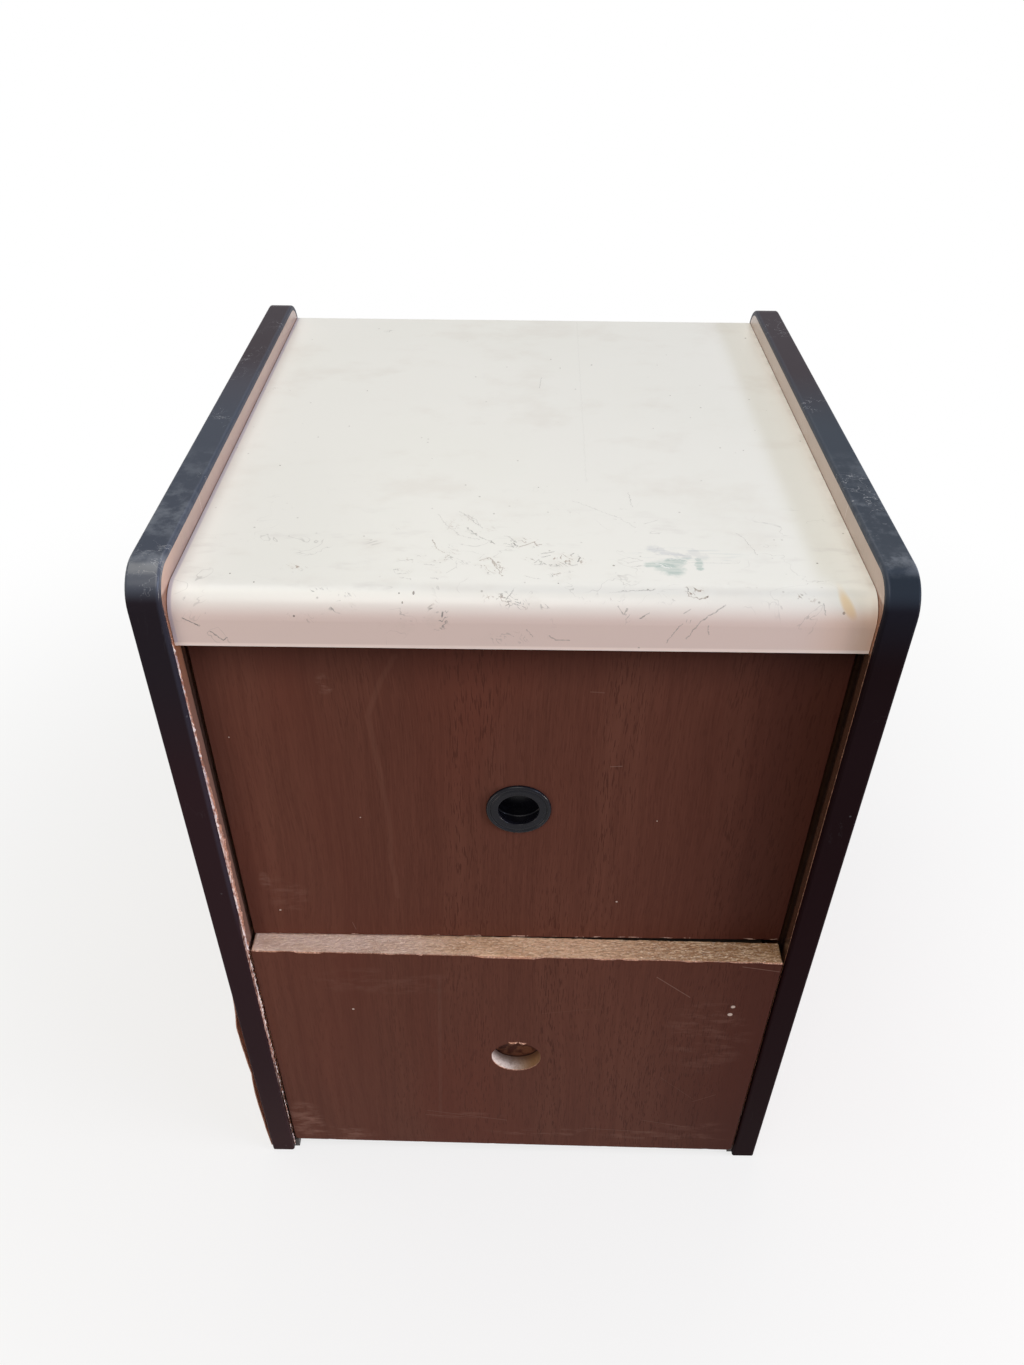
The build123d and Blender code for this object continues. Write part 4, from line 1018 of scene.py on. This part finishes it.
def front_tear(row, wear, seed):
    """How the edges of one drawer front's sheet are worn back."""
    place = FrontFace(row)
    hole = Vector(BARE_HOLE["pos_m"]) if row == "lower" else PULL_CENTRE
    upward = Vector((0.0, 0.0, 1.0))
    # The lower hole's rim is torn most about its top, in radians around it
    torn_angle, torn_reach = 1.58, 0.42

    def tear(point, number):
        along = place.run(point)
        rise = point.z - place.low.z
        if number:
            spoke = place.along * (along - place.run(hole)) + upward * (point.z - hole.z)
            out = spoke.normalized()
            angle = math.atan2(out.z, out.dot(place.along))
            torn = max(0.0, 1.0 - abs(angle - torn_angle) / torn_reach) * (row == "lower")
            around = chips(angle * 0.02, seed + 3.0, wear.hole_chip * 0.4)
            return out * (around + torn * wear.hole_chip)
        move = Vector((0.0, 0.0, 0.0))
        if place.height - rise < TOUCH:
            rough = wear.torn_roughness if row == "lower" else wear.sheet_roughness
            worn = bite(along, wear) if row == "lower" else 0.0
            move.z -= worn + chips(along, seed, rough)
        elif rise < TOUCH:
            share = 2.6 if row == "upper" else 1.6
            move.z += chips(along, seed + 1.0, wear.sheet_roughness * share)
            corner = max(0.0, 1.0 - min(along, place.width - along) / (4 * MM))
            move.z += corner * corner * 2.2 * MM * (row == "lower")
        elif along < TOUCH or along > place.width - 0.2 * MM:
            inward = 1.0 if along < place.width / 2 else -1.0
            move += place.along * inward * chips(rise, seed + 2.0, wear.sheet_roughness * 0.5)
        return move

    return tear


def cut_board(node, height):
    """Mesh of a board below a height, closed at the cut."""
    work = welded(node)
    cut = sliced(work, (0, 0, height), (0, 0, 1), True)
    rim = [item for item in cut["geom_cut"] if isinstance(item, bmesh.types.BMEdge)]
    bmesh.ops.contextual_create(work, geom=rim)
    return work


def crumbled_edge(wear, seed):
    """Raw top edge of the lower front's board: uneven flakes and broken corners."""
    place = FrontFace("lower")
    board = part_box("upper_front_core")
    thickness = SHEET + board[1].y - board[0].y
    top = place.high.z
    cut = top - wear.raw_edge_height
    stations = round(place.width / (0.9 * MM))
    front_turns, rear_turns, top_steps = 5, 3, 18
    work = bmesh.new()
    rows = []
    for i in range(stations + 1):
        along = place.width * i / stations
        end = min(along, place.width - along)
        worn = bite(along, wear)
        front = 0.3 * MM + 0.5 * worn + chips(along, seed, 0.5 * MM)
        rear = 0.35 * MM + chips(along, seed + 4.0, 0.5 * MM)
        sink = 0.9 * MM * max(0.0, 1.0 - end / (1.6 * MM)) ** 2
        outline = [(SHEET, cut), (SHEET, cut + 0.5 * (top - front - cut))]
        for k in range(front_turns + 1):
            angle = math.pi / 2 * k / front_turns
            sine, cosine = math.sin(angle), math.cos(angle)
            outline.append((SHEET + front * (1 - cosine), top - front * (1 - sine)))
        span = thickness - rear - SHEET - front
        outline += [(SHEET + front + span * k / top_steps, top) for k in range(1, top_steps)]
        for k in range(rear_turns + 1):
            angle = math.pi / 2 * k / rear_turns
            sine, cosine = math.sin(angle), math.cos(angle)
            outline.append((thickness - rear * (1 - sine), top - rear * (1 - cosine)))
        outline.append((thickness, cut))
        row = []
        for depth, height in outline:
            raised = max(0.0, (height - cut) / (top - cut))
            flakes = noise.noise((along / (3.2 * MM), depth / (0.9 * MM), seed))
            grit = noise.noise((along / (0.9 * MM), depth / (0.6 * MM), seed + 9.0))
            relief = wear.crumble * (flakes + 0.5 * grit - 0.35) * raised ** 4
            point = place.corner + place.along * along - place.out * depth
            row.append(work.verts.new((point.x, point.y, height + relief - sink * raised)))
        rows.append(row)
    skin(work, rows)
    return work


# Share of the left side sheet's widest tear at heights in millimetres above the floor
TEAR_SHARES = (
    (0, 0.3), (60, 0.4), (110, 0.6), (160, 0.85), (210, 1.0), (400, 0.95), (440, 0.8), (470, 0.62),
    (505, 0.5), (550, 0.4), (575, 0.2), (600, 0.0), (620, 0.0),
)
# How far up the torn remnant reaches, and how far its sections are apart
RIM_HEIGHT = 560 * MM
RIM_STEP = 0.8 * MM
# Section of the torn remnant: place across it, and rise, as shares of its width and lift
RIM_SECTION = (
    (0.0, -0.2), (0.0, 0.5), (0.15, 0.95), (0.4, 1.0), (0.75, 0.5), (1.0, 0.0), (1.0, -0.2),
)
# How much further out the left side's loose sheet stands at a height, in millimetres
LOOSE_SHEET = (
    (0, 2.0), (10, 2.6), (30, 3.4), (60, 3.3), (76, 3.2), (90, 2.6), (105, 1.5), (120, 0.2),
    (130, 0.6), (150, 1.4), (170, 2.4), (188, 3.0), (202, 1.6), (215, 1.0), (240, 0.3), (262, 0.0),
)


def read_at(table, height):
    """Value of a table at a height, with straight steps between its rows."""
    for (low, start), (high, end) in zip(table, table[1:]):
        if height <= high * MM:
            return start + (end - start) * (height / MM - low) / (high - low)
    return 0.0


def side_tear(side, wear, seed):
    """How the front edge of a side's inner sheet is torn beside its band."""
    low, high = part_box(f"{side}_inner_laminate")

    def tear(point, number):
        if number or point.y > low.y + TOUCH:
            return Vector((0.0, 0.0, 0.0))
        height = point.z - low.z
        broad = 0.8 + 0.4 * waver(height, 45, seed, 1.0)
        fine = waver(height, 5, seed, 2.0)
        sharp = waver(height, 1.4, seed, 3.0)
        most = wear.side_tear * read_at(TEAR_SHARES, point.z) if side == "left" else wear.side_nick
        width = most * max(0.15, broad + 0.35 * fine) + 0.5 * MM * abs(sharp)
        fade = min(1.0, height / (20 * MM), (high.z - point.z) / (40 * MM))
        return Vector((0.0, max(0.0, width * fade), 0.0))

    return tear


def torn_rim(wear, seed):
    """Ragged white remnant of the sheet that still sticks beside the left band and stands up."""
    low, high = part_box("left_inner_laminate")
    wall = high.x - SHEET
    work = bmesh.new()
    rows = []
    for i in range(round(RIM_HEIGHT / RIM_STEP) + 1):
        height = low.z + RIM_STEP * i
        share = 0.55 + 0.45 * read_at(TEAR_SHARES, height)
        broad = waver(height, 22, seed, 1.0)
        lift = wear.rim_lift * max(0.15, 0.75 + 0.5 * broad + 0.9 * waver(height, 2.6, seed, 2.0))
        ragged = 1.0 + 0.5 * broad + 0.4 * waver(height, 5, seed, 3.0)
        wide = wear.rim_width * share * max(0.3, ragged)
        rows.append([
            work.verts.new((wall + lift * rise, low.y + wide * back, height))
            for back, rise in RIM_SECTION
        ])
    skin(work, rows)
    return work


def bowed_sheet(wear):
    """The left side's outer sheet, standing further off the board where it has come loose."""
    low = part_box("left_outer_laminate")[0]
    work = welded("left_outer_laminate")
    pitch, columns = 6, 8
    for height in range(pitch, LOOSE_SHEET[-1][0], pitch):
        sliced(work, (0.0, 0.0, height * MM), (0, 0, 1))
    for k in range(1, columns + 1):
        sliced(work, (0.0, low.y + wear.loose_depth * k / columns, 0.0), (0, 1, 0))
    bmesh.ops.remove_doubles(work, verts=work.verts, dist=0.2 * MM)
    bmesh.ops.dissolve_degenerate(work, edges=work.edges, dist=0.05 * MM)
    for vert in work.verts:
        along = max(0.0, 1.0 - (vert.co.y - low.y) / wear.loose_depth)
        vert.co.x -= read_at(LOOSE_SHEET, vert.co.z) * wear.loose_bow * along
    work.normal_update()
    for face in work.faces:
        face.material_index = int(face.normal.x > 0.5 or face.normal.y < -0.5)
    for edge in work.edges:
        edge.smooth = edge.calc_face_angle() < math.radians(30)
    return work


def arc(middle_radius, middle_depth, size, start, end, steps=5):
    """Points of a rounded corner in an outline, between two angles in degrees."""
    turns = [math.radians(start + (end - start) * k / steps) for k in range(steps + 1)]
    return [(middle_radius + size * math.cos(t), middle_depth - size * math.sin(t)) for t in turns]


def turned_cup(centre, face):
    """Cup pull turned about an axis along Y, with soft lips and a bevelled flange."""
    # Radius, and depth behind the front's face, in millimetres: inside of the cup, lip, ring of
    # the flange, its round rim, and back along the outside
    outline = [(0.0, 11.0), (8.0, 11.0), *arc(16.6, 9.6, 1.4, -90, 0)]
    outline += [(18.0, 2.4), (17.6, 2.0), (13.7, 1.0), (13.5, 0.8), (13.5, -1.0)]
    outline += arc(14.3, -1.0, 0.8, 180, 90)
    outline += [
        (14.9, -1.75), (16.4, -1.85), (17.9, -2.0), (18.15, -1.9), (18.35, -1.6), (18.6, -1.55),
        (18.85, -1.65), (19.05, -2.05), (19.3, -2.17), (19.7, -2.2),
    ]
    outline += arc(19.9, -0.6, 1.6, 90, 0, 8)
    outline += [(21.5, -0.15), (21.35, 0.0), (19.6, 0.0), (19.6, 11.8), (18.8, 12.6), (0.0, 12.6)]
    segments = 144
    work = bmesh.new()
    rings = []
    for radius, depth in outline:
        if radius == 0.0:
            rings.append([work.verts.new((centre.x, face + depth * MM, centre.z))] * segments)
            continue
        turns = [2 * math.pi * k / segments for k in range(segments)]
        rings.append([
            work.verts.new((
                centre.x + radius * MM * math.cos(t), face + depth * MM,
                centre.z + radius * MM * math.sin(t),
            )) for t in turns
        ])
    for one, two in zip(rings, rings[1:]):
        for k in range(segments):
            j = (k + 1) % segments
            corners = list(dict.fromkeys((one[k], one[j], two[j], two[k])))
            work.faces.new(corners).smooth = True
    return work


def torn_flakes(wear, seed):
    """Two curled flakes of sheet that stand off the top of the bare hole's rim."""
    place = FrontFace("lower")
    centre = Vector(BARE_HOLE["pos_m"])
    radius = BARE_HOLE["dims"]["r_mm"] * MM + wear.hole_chip
    work = bmesh.new()
    half, last = 7, 4
    for middle, spread in ((97, 10), (77, 8)):
        rows = []
        for i in range(2 * half + 1):
            angle = math.radians(middle + spread * (i / half - 1))
            edge = 1.0 - abs(i / half - 1) ** 3
            rough = 0.75 + 0.4 * noise.noise((i * 0.6, middle, seed))
            row = []
            for k in range(last + 1):
                out = 0.1 * MM + wear.flake_lift * edge * rough * (1 - k / last) ** 1.5
                reach = radius - 0.9 * MM * edge * rough + 1.3 * MM * (k / last)
                spoke = place.along * math.cos(angle) + Vector((0, 0, math.sin(angle)))
                row.append((centre + spoke * reach + place.out * out, -place.out))
            rows.append(row)
        faces = []
        for offset in (0.0, 0.25 * MM):
            faces.append([[work.verts.new(p + way * offset) for p, way in row] for row in rows])
        front, rear = faces
        for grid in faces:
            for one, two in zip(grid, grid[1:]):
                for k in range(last):
                    work.faces.new((one[k], one[k + 1], two[k + 1], two[k]))
        rim = [(i, 0) for i in range(2 * half)] + [(2 * half, k) for k in range(last)]
        rim += [(i, last) for i in range(2 * half, 0, -1)] + [(0, k) for k in range(last, 0, -1)]
        for (a, b), (c, d) in zip(rim, rim[1:] + rim[:1]):
            work.faces.new((front[a][b], front[c][d], rear[c][d], rear[a][b]))
    return work


class CabinetStep:
    """Shared by the operators that finish or build one group of pieces."""

    bl_options = {"REGISTER", "UNDO"}

    def execute(self, context):
        self.build(context.scene.cabinet)
        return {"FINISHED"}


class CABINET_OT_sides(CabinetStep, bpy.types.Operator):
    """Finish the side boards, their sheets and their edge bands."""

    bl_idname = "cabinet.sides"
    bl_label = "Side Boards"

    def build(self, settings):
        dress(["right_outer_laminate"], settings)
        new_piece(
            "left_outer_sheet", bowed_sheet(settings.wear), "cabinet",
            [finish_for("brown_laminate", settings), finish_for("sheet_back", settings)],
            ["left_outer_laminate"],
        )
        for side in ("left", "right"):
            dress([f"{side}_side_core", f"{side}_edge_band"], settings)
            inward = Vector((1.0 if side == "left" else -1.0, 0.0, 0.0))
            torn_sheet(
                f"{side}_inner_sheet", f"{side}_inner_laminate", "cabinet",
                inward, side_tear(side, settings.wear, settings.seed + 0.3), settings.wear,
                [finish_for("brown_laminate", settings), finish_for("torn_sheet", settings)], 0.92,
            )
        new_piece(
            "left_torn_rim", torn_rim(settings.wear, settings.seed + 6.7), "cabinet",
            [finish_for("torn_rim", settings)], [],
        )


class CABINET_OT_worktop(CabinetStep, bpy.types.Operator):
    """Finish the worktop."""

    bl_idname = "cabinet.worktop"
    bl_label = "Worktop"

    def build(self, settings):
        dress(["top_core", "top_front_strip", "top_laminate"], settings)


class CABINET_OT_fronts(CabinetStep, bpy.types.Operator):
    """Finish both drawer fronts."""

    bl_idname = "cabinet.fronts"
    bl_label = "Drawer Fronts"

    def build(self, settings):
        wear, seed = settings.wear, settings.seed
        wood, raw = finish_for("chipboard", settings), finish_for("torn_sheet", settings)
        dress(["upper_front_core"], settings)
        for row in ("upper", "lower"):
            torn_sheet(
                f"{row}_front_sheet", f"{row}_front_laminate", f"{row}_drawer",
                FrontFace(row).out, front_tear(row, wear, seed + len(row) + ord(row[0])), wear,
                [finish_for("front_laminate", settings), raw],
            )
        cut = FrontFace("lower").high.z - wear.raw_edge_height
        board = cut_board("lower_front_core", cut)
        new_piece(
            "lower_front_board", board, "lower_drawer", [wood], ["lower_front_core"],
        )
        edge = crumbled_edge(wear, seed + 0.5)
        new_piece("lower_front_raw_edge", edge, "lower_drawer", [wood], [])
        flakes = torn_flakes(wear, seed)
        new_piece("bare_hole_flakes", flakes, "lower_drawer", [raw], [])


class CABINET_OT_pull(CabinetStep, bpy.types.Operator):
    """Finish the cup pull."""

    bl_idname = "cabinet.pull"
    bl_label = "Cup Pull"

    def build(self, settings):
        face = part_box("upper_front_laminate")[0].y
        new_piece(
            "cup_pull", turned_cup(PULL_CENTRE, face), "upper_drawer",
            [finish_for("cup_pull", settings)], ["upper_cup_pull"],
        )


class CABINET_OT_inside(CabinetStep, bpy.types.Operator):
    """Finish the carcass, the drawer boxes, the runners and the fixings."""

    bl_idname = "cabinet.inside"
    bl_label = "Inside Parts"

    def build(self, settings):
        outside = ("laminate", "edge_band", "_core", "top_front_strip", "cup_pull")
        dress([name for name in sorted(frame["nodes"]) if not name.endswith(outside)], settings)


# Lamps: name, place, point that it faces, width and height
LAMPS = (
    ("overhead", (-0.75, -0.05, 2.4), (0.0, 0.0, 0.6), (1.1, 1.1)),
    ("rear", (0.3, 1.5, 2.1), (0.0, 0.0, 0.6), (1.6, 0.9)),
    ("window", (2.03, -0.88, 1.51), (0.0, -0.1, 0.5), (1.6, 0.2)),
    ("front", (-0.2, -1.3, 2.3), (0.0, -0.2, 0.5), (1.2, 1.2)),
    ("fill", (-0.85, -0.95, 0.25), (0.0, -0.2, 0.3), (0.5, 0.5)),
    ("side", (1.5, -0.55, 0.4), (-0.2, -0.2, 0.35), (0.6, 0.3)),
)


class CABINET_OT_studio(CabinetStep, bpy.types.Operator):
    """Set up the floor, the soft light, the lamps and the camera."""

    bl_idname = "cabinet.studio"
    bl_label = "Studio"

    def build(self, settings):
        studio = settings.studio
        scene = bpy.context.scene
        scene.view_settings.view_transform = "Standard"
        self.camera(studio, scene)
        self.floor(studio, scene)
        self.world(studio, scene)
        for lamp in LAMPS:
            self.lamp(studio, scene, *lamp)

    def camera(self, studio, scene):
        data = bpy.data.cameras.new("Camera")
        data.lens = studio.lens
        data.sensor_width = 36.0
        data.clip_start, data.clip_end = 0.02, 50.0
        camera = bpy.data.objects.new("Camera", data)
        ahead = Vector((math.sin(studio.yaw) * math.cos(studio.pitch),
                        math.cos(studio.yaw) * math.cos(studio.pitch), -math.sin(studio.pitch)))
        right = Vector((math.cos(studio.yaw), -math.sin(studio.yaw), 0.0))
        down = ahead.cross(right)
        turned = right * math.cos(studio.roll) + down * math.sin(studio.roll)
        lowered = down * math.cos(studio.roll) - right * math.sin(studio.roll)
        camera.matrix_world = Matrix((
            (turned.x, -lowered.x, -ahead.x, studio.place[0]),
            (turned.y, -lowered.y, -ahead.y, studio.place[1]),
            (turned.z, -lowered.z, -ahead.z, studio.place[2]),
            (0.0, 0.0, 0.0, 1.0),
        ))
        scene.collection.objects.link(camera)
        scene.camera = camera

    def floor(self, studio, scene):
        """Pale floor that nearly glows where it is seen, and darker where it throws light up."""
        mesh = bpy.data.meshes.new("Studio_floor")
        work = bmesh.new()
        bmesh.ops.create_grid(work, x_segments=8, y_segments=8, size=9.0)
        work.to_mesh(mesh)
        work.free()
        floor = bpy.data.objects.new("Studio_floor", mesh)
        scene.collection.objects.link(floor)
        f = Finish("Pale floor", {"Roughness": 0.8, "Specular IOR Level": 0.0})
        seen = f.seen()
        tone = f.blend(f.noise(1.5, 3), studio.floor, tinted(studio.floor, 0.985))
        f.tone = f.blend(seen, studio.floor_bounce, tone)
        glow = f.node("ShaderNodeEmission", {}, {"Color": (1, 1, 1, 1), "Strength": 1.0})
        away = f.vector("LENGTH", f.place, output=1)
        mixed = f.node("ShaderNodeMixShader", {}, {
            0: seen * (0.72 + away.step(0.25, 1.2) * 0.28),
            1: Value(f, f.surface.outputs[0]), 2: glow,
        })
        f.tree.links.new(mixed.socket, f.tree.nodes["Material Output"].inputs[0])
        mesh.materials.append(f.finish())

    def world(self, studio, scene):
        """White where it is seen, and weak where it lights."""
        world = bpy.data.worlds.new("Studio")
        world.use_nodes = True
        scene.world = world
        shading = Shading(world.node_tree)
        sky = shading.tree.nodes["Background"]
        sky.inputs["Color"].default_value = (1, 1, 1, 1)
        strength = shading.seen() * (1 - studio.sky) + studio.sky
        shading.tree.links.new(strength.socket, sky.inputs["Strength"])

    def lamp(self, studio, scene, name, place, target, size):
        data = bpy.data.lights.new(name, "AREA")
        data.shape = "RECTANGLE"
        data.size, data.size_y = size
        data.energy = getattr(studio, name)
        data.color = getattr(studio, f"{name}_tint")
        lamp = bpy.data.objects.new(name, data)
        lamp.location = place
        aim = Vector(target) - Vector(place)
        lamp.rotation_euler = aim.to_track_quat("-Z", "Y").to_euler()
        scene.collection.objects.link(lamp)


STEPS = ("sides", "worktop", "fronts", "pull", "inside", "studio")


class CABINET_PT_panel(bpy.types.Panel):
    """The cabinet's settings and steps."""

    bl_label = "Filing Cabinet"
    bl_space_type = "VIEW_3D"
    bl_region_type = "UI"
    bl_category = "Cabinet"

    def draw(self, context):
        settings = context.scene.cabinet
        layout = self.layout
        for group in (settings.colours, settings.wear, settings.studio):
            box = layout.box()
            for name in group.__annotations__:
                box.prop(group, name)
        layout.prop(settings, "seed")
        for step in STEPS:
            layout.operator(f"cabinet.{step}")


CLASSES = (
    CabinetColours, CabinetWear, CabinetStudio, CabinetSettings,
    CABINET_OT_sides, CABINET_OT_worktop, CABINET_OT_fronts, CABINET_OT_pull,
    CABINET_OT_inside, CABINET_OT_studio, CABINET_PT_panel,
)


def register():
    for cls in CLASSES:
        bpy.utils.register_class(cls)
    bpy.types.Scene.cabinet = PointerProperty(type=CabinetSettings)


def unregister():
    del bpy.types.Scene.cabinet
    for cls in reversed(CLASSES):
        bpy.utils.unregister_class(cls)


def main():
    register()
    for step in STEPS:
        getattr(bpy.ops.cabinet, step)()


if __name__ == "__main__":
    main()
